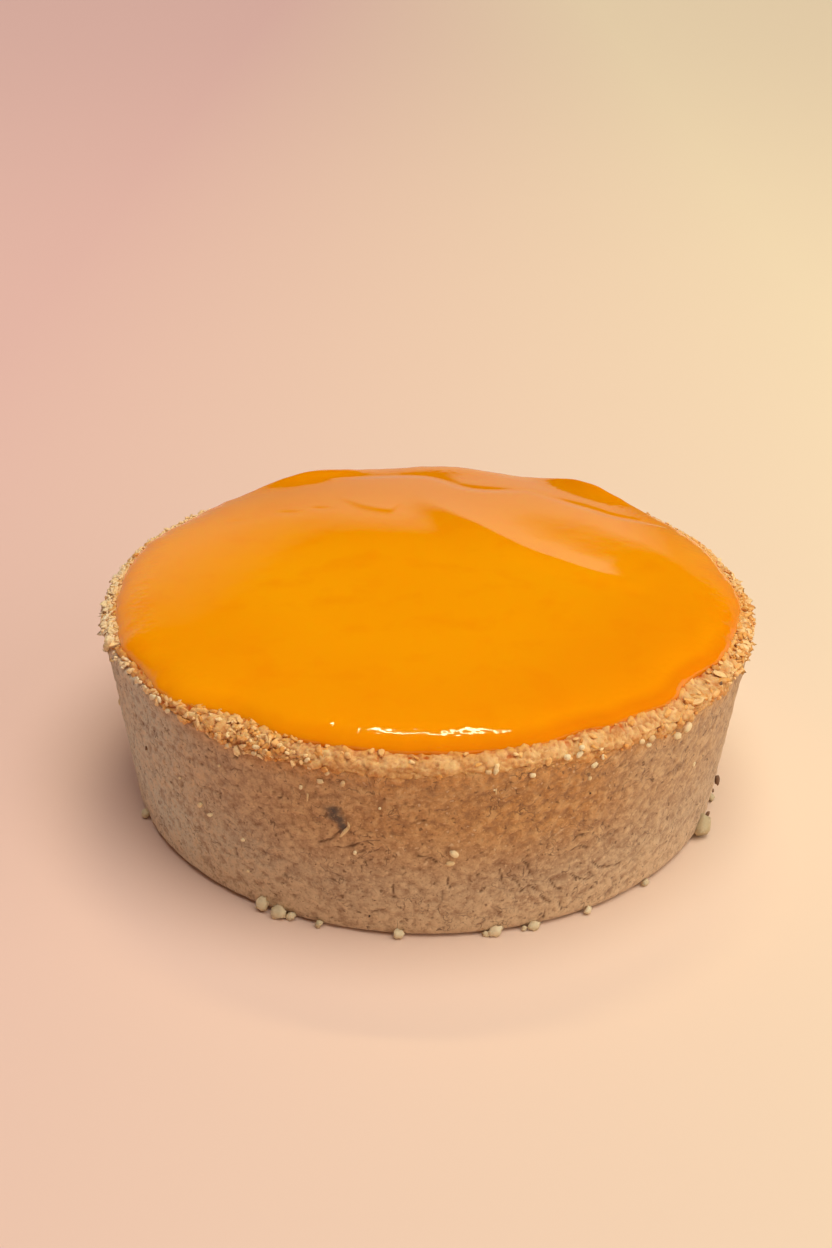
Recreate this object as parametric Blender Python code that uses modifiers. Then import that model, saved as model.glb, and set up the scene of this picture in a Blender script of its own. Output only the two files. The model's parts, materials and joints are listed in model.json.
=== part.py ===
"""A mango tart: a crumb crust shaped as a shallow cup, and the domed mango gel that fills it.

Metres, +Z up. The origin is the centre of the crust's underside, which stands on z = 0, and -Y is
the front. Run it with blender --background --python part.py, or from Blender's text editor.
"""

import math
import random

import bmesh
import bpy
from mathutils import Matrix, Vector, noise

MM = 0.001

# The crust
RIM_RADIUS = 45.0 * MM  # outside of the smooth side, at its top
BASE_RADIUS = 41.9 * MM  # where the side would meet the table without its rounding
SIDE_HEIGHT = 26.3 * MM  # top of the smooth side, where the loose crumbs begin
CREST_HEIGHT = 27.6 * MM  # top of the pressed wall, under the loose crumbs
BASE_ROUNDING = 1.6 * MM
FLOOR_THICKNESS = 6.0 * MM
WALL_THICKNESS = 4.6 * MM
CRUST_SECTORS = 72
CRUST_SEED = 7

# The gel
GEL_EDGE_RADIUS = 43.4 * MM  # where the gel ends on top of the wall
GEL_EDGE_HEIGHT = 28.1 * MM
GEL_EDGE_LIP = 0.7 * MM  # thickness of the gel's round edge
GEL_RISE = 2.6 * MM  # from the edge to the middle of the top
GEL_ROUNDNESS = 6.0  # power of the top's curve: higher is flatter, with a tighter edge
GEL_SECTORS = 72
GEL_TOP_RINGS = 13
GAP = 0.3 * MM  # between the gel and the crust

# Bites that the crumbs take out of the gel's outline: angle, depth, half width
GEL_BITES = (
    (math.radians(320), 2.0 * MM, math.radians(9)),
    (math.radians(296), 1.3 * MM, math.radians(6)),
    (math.radians(236), 1.1 * MM, math.radians(7)),
    (math.radians(212), 0.7 * MM, math.radians(5)),
    (math.radians(150), 0.6 * MM, math.radians(8)),
    (math.radians(8), 0.5 * MM, math.radians(7)),
)

# Swells that the gel was left with near its back edge: x, y, turn, half length, half width, height
GEL_SWELLS = (
    (-19.5 * MM, 36.0 * MM, math.radians(28), 9.0 * MM, 3.4 * MM, 1.35 * MM),
    (1.5 * MM, 39.8 * MM, math.radians(-2), 7.0 * MM, 2.6 * MM, 0.6 * MM),
    (27.0 * MM, 30.5 * MM, math.radians(-42), 8.0 * MM, 3.4 * MM, 1.3 * MM),
    (-6.0 * MM, 14.0 * MM, math.radians(-30), 14.0 * MM, 9.0 * MM, 0.35 * MM),
)

# Folds left by the spoon: the surface climbs to the line and drops behind it.
# Each has its line's points from left to right, the climb in front of it and the drop behind it.
GEL_FOLDS = (
    {
        "line": ((-2, 29), (3, 26), (7, 21), (10, 15), (13, 10.5), (18, 5.5), (23, 1.5), (29, 1)),
        "climb": 0.35 * MM,
        "drop": 0.75 * MM,
        "reach": 9.0 * MM,
    },
    {
        "line": ((-22, 30.5), (-17, 34), (-9, 36.5), (-1, 36.8), (5, 33), (12, 31.3), (19, 33)),
        "climb": 0.1 * MM,
        "drop": 0.45 * MM,
        "reach": 3.5 * MM,
    },
    {
        "line": ((20, 28.5), (24, 24.5), (29, 20.5), (34, 19), (38, 16.5)),
        "climb": 0.1 * MM,
        "drop": 0.4 * MM,
        "reach": 3.5 * MM,
    },
)

# Crumbs that are fused to the crust, row by row: how many, the height and radius of the row's
# middle, and the crumb's mean half length, half width and half thickness.
RIM_ROWS = (
    (84, 28.15 * MM, 44.62 * MM, (1.35 * MM, 0.72 * MM, 0.62 * MM)),
    (78, 27.25 * MM, 45.0 * MM, (1.3 * MM, 0.75 * MM, 0.7 * MM)),
    (40, 26.1 * MM, 44.95 * MM, (1.0 * MM, 0.62 * MM, 0.5 * MM)),
)
BITE_CRUMB = (1.25 * MM, 0.8 * MM, 0.65 * MM)

# Single grains on the side and along the bottom edge: angle, height, half size
STRAY_GRAINS = (
    (242.0, 0.75 * MM, 0.75 * MM),
    (245.6, 0.7 * MM, 0.7 * MM),
    (247.8, 0.55 * MM, 0.5 * MM),
    (253.5, 0.6 * MM, 0.55 * MM),
    (266.0, 0.7 * MM, 0.65 * MM),
    (280.6, 0.75 * MM, 0.75 * MM),
    (286.8, 0.7 * MM, 0.65 * MM),
    (295.5, 0.6 * MM, 0.5 * MM),
    (306.5, 0.6 * MM, 0.5 * MM),
    (336.0, 3.6 * MM, 1.3 * MM),
    (340.0, 5.6 * MM, 0.7 * MM),
    (344.0, 11.0 * MM, 0.6 * MM),
    (273.0, 9.5 * MM, 0.55 * MM),
    (272.6, 8.2 * MM, 0.5 * MM),
    (247.0, 22.3 * MM, 0.5 * MM),
    (228.0, 14.5 * MM, 0.6 * MM),
    (232.0, 12.8 * MM, 0.5 * MM),
)

CRUST_COLOUR = (0.42, 0.19, 0.075, 1.0)
GEL_COLOUR = (0.94, 0.30, 0.003, 1.0)


def clear_scene():
    for obj in list(bpy.data.objects):
        bpy.data.objects.remove(obj)


def new_collection(name):
    collection = bpy.data.collections.new(name)
    bpy.context.scene.collection.children.link(collection)
    return collection


def new_object(name, mesh, collection):
    obj = bpy.data.objects.new(name, mesh)
    collection.objects.link(obj)
    return obj


def plain_material(name, colour, roughness):
    material = bpy.data.materials.new(name)
    material.use_nodes = True
    shader = material.node_tree.nodes["Principled BSDF"]
    shader.inputs["Base Color"].default_value = colour
    shader.inputs["Roughness"].default_value = roughness
    shader.inputs["Metallic"].default_value = 0.0
    return material


def smooth_step(t):
    t = min(1.0, max(0.0, t))
    return t * t * (3 - 2 * t)


def angle_between(a, b):
    return abs((a - b + math.pi) % math.tau - math.pi)


def arc(centre_r, centre_z, radius, start_deg, end_deg, steps):
    """Points (r, z) along an arc of a turned profile."""
    turns = [start_deg + (end_deg - start_deg) * i / steps for i in range(steps + 1)]
    return [
        (
            centre_r + radius * math.cos(math.radians(t)),
            centre_z + radius * math.sin(math.radians(t)),
        )
        for t in turns
    ]


def gel_edge(angle):
    """Radius of the gel's edge at this angle round the tart."""
    bites = sum(
        depth * math.exp(-((angle_between(angle, at) / width) ** 2))
        for at, depth, width in GEL_BITES
    )
    waves = 0.18 * MM * math.sin(5 * angle + 0.6) + 0.12 * MM * math.sin(11 * angle + 2.0)
    return GEL_EDGE_RADIUS + waves - bites


def turned_mesh(name, profile, sectors):
    """The mesh that a Screw modifier turns from a profile of (r, z) points."""
    mesh = bpy.data.meshes.new(name + "_profile")
    edges = [(i, i + 1) for i in range(len(profile) - 1)]
    mesh.from_pydata([(r, 0.0, z) for r, z in profile], edges, [])
    helper = new_object(name + "_profile", mesh, bpy.context.scene.collection)
    screw = helper.modifiers.new("turn", "SCREW")
    screw.steps = sectors
    screw.render_steps = sectors
    screw.use_merge_vertices = True
    screw.merge_threshold = 0.00001
    graph = bpy.context.evaluated_depsgraph_get()
    turned = bpy.data.meshes.new_from_object(helper.evaluated_get(graph))
    turned.name = name
    bpy.data.objects.remove(helper)
    return turned


def side_radius(height):
    """Radius of the crust's smooth side at this height."""
    return BASE_RADIUS + (RIM_RADIUS - BASE_RADIUS) * height / SIDE_HEIGHT


def crust_profile():
    """From the middle of the cup's floor, up the inside, over the rim and down the outside."""
    inner_base = BASE_RADIUS - WALL_THICKNESS
    inner_top = RIM_RADIUS - WALL_THICKNESS
    lean = math.degrees(math.atan2(RIM_RADIUS - BASE_RADIUS, SIDE_HEIGHT))
    inside = [
        (0.0, FLOOR_THICKNESS),
        (inner_base, FLOOR_THICKNESS),
        (inner_top - 0.2 * MM, SIDE_HEIGHT - 2.6 * MM),
        (inner_top + 0.4 * MM, SIDE_HEIGHT - 0.5 * MM),
    ]
    rim = [
        (GEL_EDGE_RADIUS - 0.6 * MM, CREST_HEIGHT - 0.75 * MM),
        (GEL_EDGE_RADIUS + GAP, CREST_HEIGHT - 0.35 * MM),
        (GEL_EDGE_RADIUS + 0.8 * MM, CREST_HEIGHT),
        (RIM_RADIUS - 0.2 * MM, CREST_HEIGHT - 0.45 * MM),
    ]
    side = [
        (side_radius(h), h)
        for h in (SIDE_HEIGHT, 24.6 * MM, 19.0 * MM, 12.5 * MM, 6.0 * MM)
    ]
    rounding_centre = side_radius(BASE_ROUNDING) - BASE_ROUNDING
    rounding = arc(rounding_centre, BASE_ROUNDING, BASE_ROUNDING, -lean, -90, 3)
    return inside + rim + side + rounding + [(0.0, 0.0)]


def shape_crust(mesh):
    """Lets the wall's top follow the gel's outline, and makes the rim and the side uneven."""
    inner_top = RIM_RADIUS - WALL_THICKNESS
    for vertex in mesh.vertices:
        x, y, z = vertex.co
        radius = math.hypot(x, y)
        if radius < inner_top:
            continue
        angle = math.atan2(y, x)
        shift = gel_edge(angle) - GEL_EDGE_RADIUS
        out = Vector((x, y, 0.0)) / radius
        if z > SIDE_HEIGHT:
            near_gel = smooth_step((RIM_RADIUS - radius) / (1.2 * MM))
            wobble = noise.noise(vertex.co * 260 + Vector((3.1, 0, 0)))
            vertex.co += out * shift * near_gel
            if radius > GEL_EDGE_RADIUS + 0.5 * MM:
                vertex.co.z += 0.35 * MM * wobble
        elif z > 0.3 * MM and radius > inner_top + 2 * MM:
            dents = noise.noise(vertex.co * 95) + 0.5 * noise.noise(vertex.co * 260)
            vertex.co += out * 0.16 * MM * dents


def crumb_mesh(name, half_sizes, rng):
    """A crumb: a low icosphere, or one time in two a six-sided chip, pulled out of shape."""
    bm = bmesh.new()
    if rng.random() < 0.5:
        bmesh.ops.create_icosphere(bm, subdivisions=1, radius=1.0)
    else:
        bmesh.ops.create_cube(bm, size=1.5)
    for vertex in bm.verts:
        vertex.co *= rng.uniform(0.82, 1.18)
    bmesh.ops.scale(bm, vec=half_sizes, verts=bm.verts)
    mesh = bpy.data.meshes.new(name)
    bm.to_mesh(mesh)
    bm.free()
    return mesh


def add_crumb(crumbs, angle, radius, height, half_sizes, rng, lean=0.0):
    """Puts one crumb on the crust, lying roughly along it, turned and tipped at random."""
    name = f"crumb_{len(crumbs.objects):03d}"
    sizes = [s * rng.uniform(0.8, 1.2) for s in half_sizes]
    obj = new_object(name, crumb_mesh(name, sizes, rng), crumbs)
    tip = Matrix.Rotation(rng.uniform(-0.45, 0.45), 4, "X")
    slope = Matrix.Rotation(lean, 4, "X")
    turn = Matrix.Rotation(rng.uniform(-0.6, 0.6), 4, "Z")
    along = Matrix.Rotation(angle + math.pi / 2, 4, "Z")
    place = Matrix.Translation((radius * math.cos(angle), radius * math.sin(angle), height))
    obj.matrix_world = place @ along @ slope @ turn @ tip


def scatter_crumbs(crumbs):
    """The rim's rows of crumbs, the crumbs in the gel's bites and the stray grains."""
    rng = random.Random(CRUST_SEED)
    for row, (count, height, radius, half_sizes) in enumerate(RIM_ROWS):
        for i in range(count):
            angle = math.tau * (i + rng.uniform(-0.3, 0.3)) / count
            keep_out = gel_edge(angle) + GAP + half_sizes[1] * 1.15
            out = max(radius + rng.uniform(-0.15, 0.3) * MM, keep_out if row == 0 else 0.0)
            up = height + rng.uniform(-0.3, 0.3) * MM
            add_crumb(crumbs, angle, out, up, half_sizes, rng, lean=0.5 * row)
    for at, depth, width in GEL_BITES:
        for i in range(round(depth / (0.4 * MM))):
            angle = at + rng.uniform(-0.9, 0.9) * width
            inner = gel_edge(angle) + GAP + BITE_CRUMB[0] * 1.05
            if inner < RIM_ROWS[0][2]:
                out = rng.uniform(inner, RIM_ROWS[0][2])
                add_crumb(crumbs, angle, out, CREST_HEIGHT + 0.4 * MM, BITE_CRUMB, rng)
    for degrees, height, half in STRAY_GRAINS:
        angle = math.radians(degrees)
        out = side_radius(height) - (BASE_ROUNDING * 0.3 if height < BASE_ROUNDING else 0.0)
        grain = crumb_mesh(f"grain_{degrees:.0f}", (half, half * 0.8, half * 0.9), rng)
        obj = new_object(f"grain_{degrees:.0f}", grain, crumbs)
        lowest = max(height, half * 1.1)
        obj.location = (out * math.cos(angle), out * math.sin(angle), lowest)
        obj.rotation_euler = (0.0, 0.0, angle + math.pi / 2)


def fuse(body, crumbs):
    """Joins the collection to the body with one Boolean union, applies it and drops the collection."""
    union = body.modifiers.new("fuse", "BOOLEAN")
    union.operation = "UNION"
    union.operand_type = "COLLECTION"
    union.collection = crumbs
    union.solver = "EXACT"
    graph = bpy.context.evaluated_depsgraph_get()
    fused = bpy.data.meshes.new_from_object(body.evaluated_get(graph))
    body.modifiers.clear()
    body.data = fused
    for obj in list(crumbs.objects):
        bpy.data.objects.remove(obj)
    bpy.data.collections.remove(crumbs)


def keep_outer_shell(mesh):
    """Drops the sealed hollows and loose scraps that fusing leaves, and keeps the one outer shell."""
    bm = bmesh.new()
    bm.from_mesh(mesh)
    left = set(bm.verts)
    shells = []
    while left:
        found = [left.pop()]
        shell = set(found)
        while found:
            for edge in found.pop().link_edges:
                for vertex in edge.verts:
                    if vertex in left:
                        left.discard(vertex)
                        shell.add(vertex)
                        found.append(vertex)
        shells.append(shell)
    shells.sort(key=len)
    for shell in shells[:-1]:
        bmesh.ops.delete(bm, geom=list(shell), context="VERTS")
    bmesh.ops.triangulate(bm, faces=bm.faces)
    bm.to_mesh(mesh)
    bm.free()


def make_crust(parts):
    crumbs = new_collection("crumbs")
    body = new_object("crust", turned_mesh("crust", crust_profile(), CRUST_SECTORS), parts)
    shape_crust(body.data)
    body.data.materials.clear()
    body.data.materials.append(plain_material("crumb_crust", CRUST_COLOUR, 0.9))
    scatter_crumbs(crumbs)
    fuse(body, crumbs)
    keep_outer_shell(body.data)
    body.data.set_sharp_from_angle(angle=math.radians(40))
    return body


def gel_top(radius, edge):
    """Height of the gel's top at this radius, before its swells and folds."""
    share = min(1.0, radius / edge)
    return GEL_EDGE_HEIGHT + GEL_RISE * math.sqrt(1 - share**GEL_ROUNDNESS)


def gel_profile():
    """From the middle of the top, out to the edge, back under the lip and down to the floor."""
    edge = GEL_EDGE_RADIUS
    plug_top = RIM_RADIUS - WALL_THICKNESS - GAP
    plug_base = BASE_RADIUS - WALL_THICKNESS - GAP
    shares = [math.sin(math.pi / 2 * i / GEL_TOP_RINGS) for i in range(GEL_TOP_RINGS + 1)]
    top = [(edge * share, gel_top(edge * share, edge)) for share in shares]
    lip = [
        (edge, GEL_EDGE_HEIGHT - 0.25 * MM),
        (edge - 0.25 * MM, GEL_EDGE_HEIGHT - 0.5 * MM),
        (edge - GEL_EDGE_LIP, GEL_EDGE_HEIGHT - GEL_EDGE_LIP),
    ]
    plug = [
        (plug_top + 0.3 * MM, SIDE_HEIGHT - 0.1 * MM),
        (plug_top - 0.25 * MM, SIDE_HEIGHT - 2.3 * MM),
        (plug_base, FLOOR_THICKNESS + GAP),
        (0.0, FLOOR_THICKNESS + GAP),
    ]
    return top + lip + plug


def swell(x, y):
    """Height that the swells add at (x, y)."""
    total = 0.0
    for at_x, at_y, turn, half_length, half_width, height in GEL_SWELLS:
        dx, dy = x - at_x, y - at_y
        along = dx * math.cos(turn) + dy * math.sin(turn)
        across = dy * math.cos(turn) - dx * math.sin(turn)
        total += height * math.exp(-((along / half_length) ** 2) - (across / half_width) ** 2)
    return total


def place_on_line(line, x, y):
    """Distance behind the line, as positive, and the share of the way along it, of the point (x, y)."""
    best = None
    for i, (a, b) in enumerate(zip(line, line[1:])):
        start = Vector(a) * MM
        step = Vector(b) * MM - start
        share = max(0.0, min(1.0, (Vector((x, y)) - start).dot(step) / step.length_squared))
        away = Vector((x, y)) - start - step * share
        behind = 1.0 if step.x * away.y - step.y * away.x > 0 else -1.0
        if best is None or away.length < abs(best[0]):
            best = (behind * away.length, (i + share) / (len(line) - 1))
    return best


def fold(x, y):
    """Height that the folds add at (x, y)."""
    total = 0.0
    for f in GEL_FOLDS:
        distance, along = place_on_line(f["line"], x, y)
        fade = smooth_step(along / 0.2) * smooth_step((1 - along) / 0.25)
        if distance < 0:
            height = f["climb"] * math.exp(distance / f["reach"])
        else:
            dropped = smooth_step(distance / (2.2 * MM))
            regained = math.exp(-max(0.0, distance - 1.5 * MM) / f["reach"])
            height = f["climb"] * (1 - dropped) - f["drop"] * dropped * regained
        total += fade * height
    return total


def shape_gel(mesh):
    """Follows the uneven outline, and raises the swells and folds on the top."""
    for vertex in mesh.vertices:
        x, y, z = vertex.co
        radius = math.hypot(x, y)
        if radius < 1e-6:
            vertex.co.z += swell(0, 0) + fold(0, 0) if z > SIDE_HEIGHT else 0.0
            continue
        shift = gel_edge(math.atan2(y, x)) - GEL_EDGE_RADIUS
        if z > SIDE_HEIGHT:
            relief_share = smooth_step((GEL_EDGE_RADIUS - radius) / (3.0 * MM))
            near_edge = smooth_step((radius / GEL_EDGE_RADIUS - 0.8) / 0.18)
            on_top = z > gel_top(radius, GEL_EDGE_RADIUS) - 0.1 * MM and z > GEL_EDGE_HEIGHT
            vertex.co.x += x / radius * shift * near_edge
            vertex.co.y += y / radius * shift * near_edge
            if on_top:
                vertex.co.z += relief_share * (swell(x, y) + fold(x, y))


def make_gel(parts):
    gel = new_object("mango_gel", turned_mesh("mango_gel", gel_profile(), GEL_SECTORS), parts)
    shape_gel(gel.data)
    gel.data.materials.clear()
    gel.data.materials.append(plain_material("mango_gel", GEL_COLOUR, 0.15))
    gel.data.shade_smooth()
    gel.data.set_sharp_from_angle(angle=math.radians(50))
    return gel


def main():
    clear_scene()
    parts = new_collection("mango_tart")
    make_crust(parts)
    make_gel(parts)


main()
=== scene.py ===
# %% [markdown]
# # A mango tart
# A pressed crumb crust stands like a shallow cup, and mango gel fills it to a low, glossy dome.
# The imported model gives the frame: its solids have the right size and main form. The cells below
# build the visible tart around them, piece by piece, and most of them print what they made.

# %% Load the frame
import json
import math
import random

import bmesh
import bpy
import numpy as np
from mathutils import Matrix, Quaternion, Vector, noise

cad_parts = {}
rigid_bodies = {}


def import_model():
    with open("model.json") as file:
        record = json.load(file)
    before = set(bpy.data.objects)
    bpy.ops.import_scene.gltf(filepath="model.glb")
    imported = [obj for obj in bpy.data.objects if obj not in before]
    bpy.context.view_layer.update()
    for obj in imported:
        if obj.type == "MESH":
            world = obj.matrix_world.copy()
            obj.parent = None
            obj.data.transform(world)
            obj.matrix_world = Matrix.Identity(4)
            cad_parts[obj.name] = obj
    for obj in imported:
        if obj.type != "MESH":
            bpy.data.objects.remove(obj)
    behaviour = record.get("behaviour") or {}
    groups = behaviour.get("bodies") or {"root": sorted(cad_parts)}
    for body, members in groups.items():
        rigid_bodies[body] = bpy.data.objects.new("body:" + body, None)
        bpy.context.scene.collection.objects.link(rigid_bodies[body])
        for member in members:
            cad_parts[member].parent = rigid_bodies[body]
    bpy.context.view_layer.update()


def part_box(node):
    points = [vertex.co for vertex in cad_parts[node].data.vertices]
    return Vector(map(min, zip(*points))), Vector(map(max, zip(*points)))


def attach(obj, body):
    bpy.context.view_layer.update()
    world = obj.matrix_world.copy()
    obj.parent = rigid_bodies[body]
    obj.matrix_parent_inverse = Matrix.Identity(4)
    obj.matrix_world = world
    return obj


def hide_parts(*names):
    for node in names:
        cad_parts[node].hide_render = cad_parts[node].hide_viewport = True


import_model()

MM = 0.001

# %% [markdown]
# ## The tart's main sizes
# The source of the solids works from a few radii and heights, and the looks use the same ones, so
# that each new surface lies on its solid. The crust leans outwards from its base to its rim. The
# gel laps over the top of the wall. Its edge is bitten where crumbs lean into it, and bulges where
# it ran out to the very rim.

# %% Main sizes
RIM_RADIUS = 45.0 * MM  # outside of the smooth side, at its top
BASE_RADIUS = 41.9 * MM
SIDE_HEIGHT = 26.3 * MM
BASE_ROUNDING = 1.6 * MM
WALL_THICKNESS = 4.6 * MM
FLOOR_THICKNESS = 6.0 * MM
GEL_EDGE_RADIUS = 43.4 * MM
GEL_EDGE_HEIGHT = 28.1 * MM
GEL_RISE = 2.6 * MM
GEL_ROUNDNESS = 6.0
GEL_WAVES = ((0.18, 5, 0.6), (0.12, 11, 2.0))  # height in mm, number round the edge, where they start
GEL_BITES = (  # angle in degrees, depth in mm (negative where the gel bulges out), half width in degrees
    (324, 1.8, 7), (308, 0.8, 4), (296, 1.5, 7), (236, 1.1, 6), (224, -1.1, 8), (206, -0.8, 5),
    (150, 0.6, 8), (8, 0.5, 7),
)


def smooth_step(t):
    """0 up to 0, 1 from 1 on, and a soft rise between."""
    t = np.clip(t, 0.0, 1.0)
    return t * t * (3 - 2 * t)


def rise(lengths, start, width):
    """A smooth step over lengths in metres that starts at start and is this wide, in millimetres."""
    return smooth_step((lengths / MM - start) / width)


def side_radius(height):
    """Radius of the crust's smooth side at this height."""
    return BASE_RADIUS + (RIM_RADIUS - BASE_RADIUS) * height / SIDE_HEIGHT


def round_the_tart(angle, rows, column):
    """The value of this column at the angle in radians, read from rows that start with degrees."""
    return np.interp(np.degrees(angle) % 360, [r[0] for r in rows], [r[column] for r in rows], period=360)


def gel_edge(angle):
    """Radius of the gel's edge at this angle round the tart, in radians."""
    radius = GEL_EDGE_RADIUS
    for height, count, start in GEL_WAVES:
        radius = radius + height * MM * np.sin(count * angle + start)
    for at, depth, width in GEL_BITES:
        away = (angle - math.radians(at) + math.pi) % math.tau - math.pi
        radius = radius - depth * MM * np.exp(-((away / math.radians(width)) ** 2))
    return radius


gel_top_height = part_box("mango_gel")[1].z
print(f"crust {2 * RIM_RADIUS / MM:.0f} mm across at the rim, gel top at {gel_top_height / MM:.1f} mm")

# %% [markdown]
# ## The camera
# The photograph looks down on the tart at about 27 degrees from close by, so the back of the rim is
# clearly smaller than the front. A camera at that distance with a moderate lens keeps the same
# perspective, which no shift or crop of a farther camera would.

# %% Camera
CAMERA_PLACE = Vector((0.0, -201.1, 127.2)) * MM
CAMERA_AIM = Vector((-1.5, -7.0, 26.3)) * MM
CAMERA_ROLL = math.radians(0.67)
CAMERA_LENS = 45.9  # millimetres, over 36 mm on the picture's long side
CAMERA_CLIP = (0.01, 20.0)  # metres


def add_object(name, data):
    """A new object in the scene."""
    thing = bpy.data.objects.new(name, data)
    bpy.context.scene.collection.objects.link(thing)
    return thing


def aim(thing, place, way, roll=0.0):
    """Puts the camera or a lamp in its place and turns it to look this way."""
    thing.rotation_mode = "QUATERNION"
    thing.rotation_quaternion = way.to_track_quat("-Z", "Y") @ Quaternion((0, 0, 1), roll)
    thing.location = place


camera = add_object("camera", bpy.data.cameras.new("camera"))
camera.data.lens = CAMERA_LENS
camera.data.clip_start, camera.data.clip_end = CAMERA_CLIP
look = CAMERA_AIM - CAMERA_PLACE
aim(camera, CAMERA_PLACE, look, CAMERA_ROLL)
bpy.context.scene.camera = camera
bpy.context.scene.view_settings.view_transform = "Standard"
print(f"camera looks down {math.degrees(math.atan2(-look.z, look.y)):.1f} degrees")

# %% [markdown]
# ## Small helpers
# A turned piece starts as a few points of its profile. Each stretch is cut to the spacing that its
# surface needs, a wedge of the turn is spun, and turned copies of the wedge are welded into the
# whole: a full spin in one go gives the same mesh, but takes far longer on so many steps. Materials
# are wired by one helper, so that a graph reads as a list of its nodes.

# %% Turning helper
WEDGES = 12
WELD = 0.002 * MM


def cut_profile(stretches):
    """A bmesh with one open line. Each stretch is ((r, z) end point, spacing), the first without spacing."""
    bm = bmesh.new()
    points = [bm.verts.new((r, 0.0, z)) for (r, z), _ in stretches]
    edges = [bm.edges.new(ends) for ends in zip(points, points[1:])]
    for edge, (_, spacing) in zip(edges, stretches[1:]):
        cuts = math.ceil(edge.calc_length() / spacing) - 1
        if cuts > 0:
            bmesh.ops.subdivide_edges(bm, edges=[edge], cuts=cuts)
    return bm


def new_mesh(name, bm):
    """A mesh with smooth faces from the bmesh, which is freed."""
    for face in bm.faces:
        face.smooth = True
    mesh = bpy.data.meshes.new(name)
    bm.to_mesh(mesh)
    bm.free()
    return mesh


def turned_piece(name, stretches, sectors):
    """A closed mesh object, turned about the Z axis from a profile that ends on it or where it starts."""
    bm = cut_profile(stretches)
    bmesh.ops.spin(
        bm, geom=bm.verts[:] + bm.edges[:], cent=(0, 0, 0), axis=(0, 0, 1), dvec=(0, 0, 0),
        angle=math.tau / WEDGES, steps=sectors // WEDGES, use_merge=False, use_duplicate=False,
    )
    wedge = bpy.data.meshes.new(name + "_wedge")
    bm.to_mesh(wedge)
    turn = Matrix.Rotation(math.tau / WEDGES, 4, "Z")
    for _ in range(WEDGES - 1):
        wedge.transform(turn)
        bm.from_mesh(wedge)
    bpy.data.meshes.remove(wedge)
    bmesh.ops.remove_doubles(bm, verts=bm.verts, dist=WELD)
    bmesh.ops.recalc_face_normals(bm, faces=bm.faces)
    return add_object(name, new_mesh(name, bm))


# %% Mesh and noise helpers
def points_of(mesh, what="co"):
    """The mesh's points, or their normals, as rows of three numbers."""
    flat = np.empty(len(mesh.vertices) * 3)
    mesh.vertices.foreach_get(what, flat)
    return flat.reshape(-1, 3)


def surface(piece):
    """The piece's points and normals, and the points' angles, radii and heights round the axis."""
    rest, normals = points_of(piece.data), points_of(piece.data, "normal")
    angles = np.arctan2(rest[:, 1], rest[:, 0]) % math.tau
    return rest, normals, angles, np.hypot(rest[:, 0], rest[:, 1]), rest[:, 2]


def move_points(piece, points):
    """Puts the piece's points in these places."""
    piece.data.vertices.foreach_set("co", points.ravel())
    piece.data.update()


def store(mesh, **fields):
    """Keeps numbers on the mesh under each name, one a point, for its material to read."""
    for name, values in fields.items():
        field = mesh.attributes.new(name, "FLOAT", "POINT")
        field.data.foreach_set("value", np.asarray(values, np.float32))


def noise_at(points, per_metre, shift=0.0):
    """Smooth noise from -1 to 1 at each point, with about per_metre bumps a metre."""
    offset = Vector((shift, 0.7 * shift, -shift))
    return np.array([noise.noise(Vector(p) * per_metre + offset) for p in points])


def rough(points, *waves):
    """Noise in metres, the sum of waves of (height in mm, bumps a metre, shift)."""
    return sum(height * MM * noise_at(points, per_metre, shift) for height, per_metre, shift in waves)


def lumps_at(points, per_metre, rounding, shift=0.0):
    """Rounded lumps side by side: 0 in the grooves between them, up to 1 on their tops."""
    offset = Vector((shift, 0.7 * shift, -shift))
    away = np.array([noise.voronoi(Vector(p) * per_metre + offset)[0][:2] for p in points])
    return 1 - np.exp(-(away[:, 1] - away[:, 0]) / rounding)


# %% Material helpers
def new_material(name):
    """A new Principled material, its node tree and its shader."""
    material = bpy.data.materials.new(name)
    material.use_nodes = True
    tree = material.node_tree
    return material, tree, tree.nodes["Principled BSDF"]


def plug(tree, node, inputs):
    """Sets the node's inputs to numbers or colours, or links them where a socket is given."""
    for key, value in inputs.items():
        if isinstance(value, bpy.types.NodeSocket):
            tree.links.new(value, node.inputs[key])
        else:
            node.inputs[key].default_value = value
    return node


def wire(tree, kind, inputs=None, **settings):
    """Adds a node with these settings and inputs."""
    node = tree.nodes.new(kind)
    for key, value in settings.items():
        setattr(node, key, value)
    return plug(tree, node, inputs or {})


def object_noise(tree, per_metre, detail=3.0, roughness=0.6, warp=0.0):
    """The value of a noise texture on the piece's own coordinates."""
    place = wire(tree, "ShaderNodeTexCoord").outputs["Object"]
    texture = wire(
        tree, "ShaderNodeTexNoise",
        {"Vector": place, "Scale": per_metre, "Detail": detail, "Roughness": roughness, "Distortion": warp},
    )
    return texture.outputs["Fac"]


def blend(tree, share, first, second):
    """The colour that goes from the first to the second as share goes from 0 to 1."""
    inputs = {"Factor": share, 6: first, 7: second}
    return wire(tree, "ShaderNodeMix", inputs, data_type="RGBA", clamp_factor=True).outputs[2]


def span(tree, value, low, high, to_low=0.0, to_high=1.0):
    """The value stretched from low..high to to_low..to_high, and held there."""
    inputs = {"Value": value, "From Min": low, "From Max": high, "To Min": to_low, "To Max": to_high}
    return wire(tree, "ShaderNodeMapRange", inputs).outputs["Result"]


def calc(tree, operation, first, second):
    """One sum on two numbers or sockets."""
    return wire(tree, "ShaderNodeMath", {0: first, 1: second}, operation=operation).outputs[0]


def stored(tree, name):
    """What store() kept on the mesh."""
    return wire(tree, "ShaderNodeAttribute", attribute_name=name).outputs["Fac"]


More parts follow.
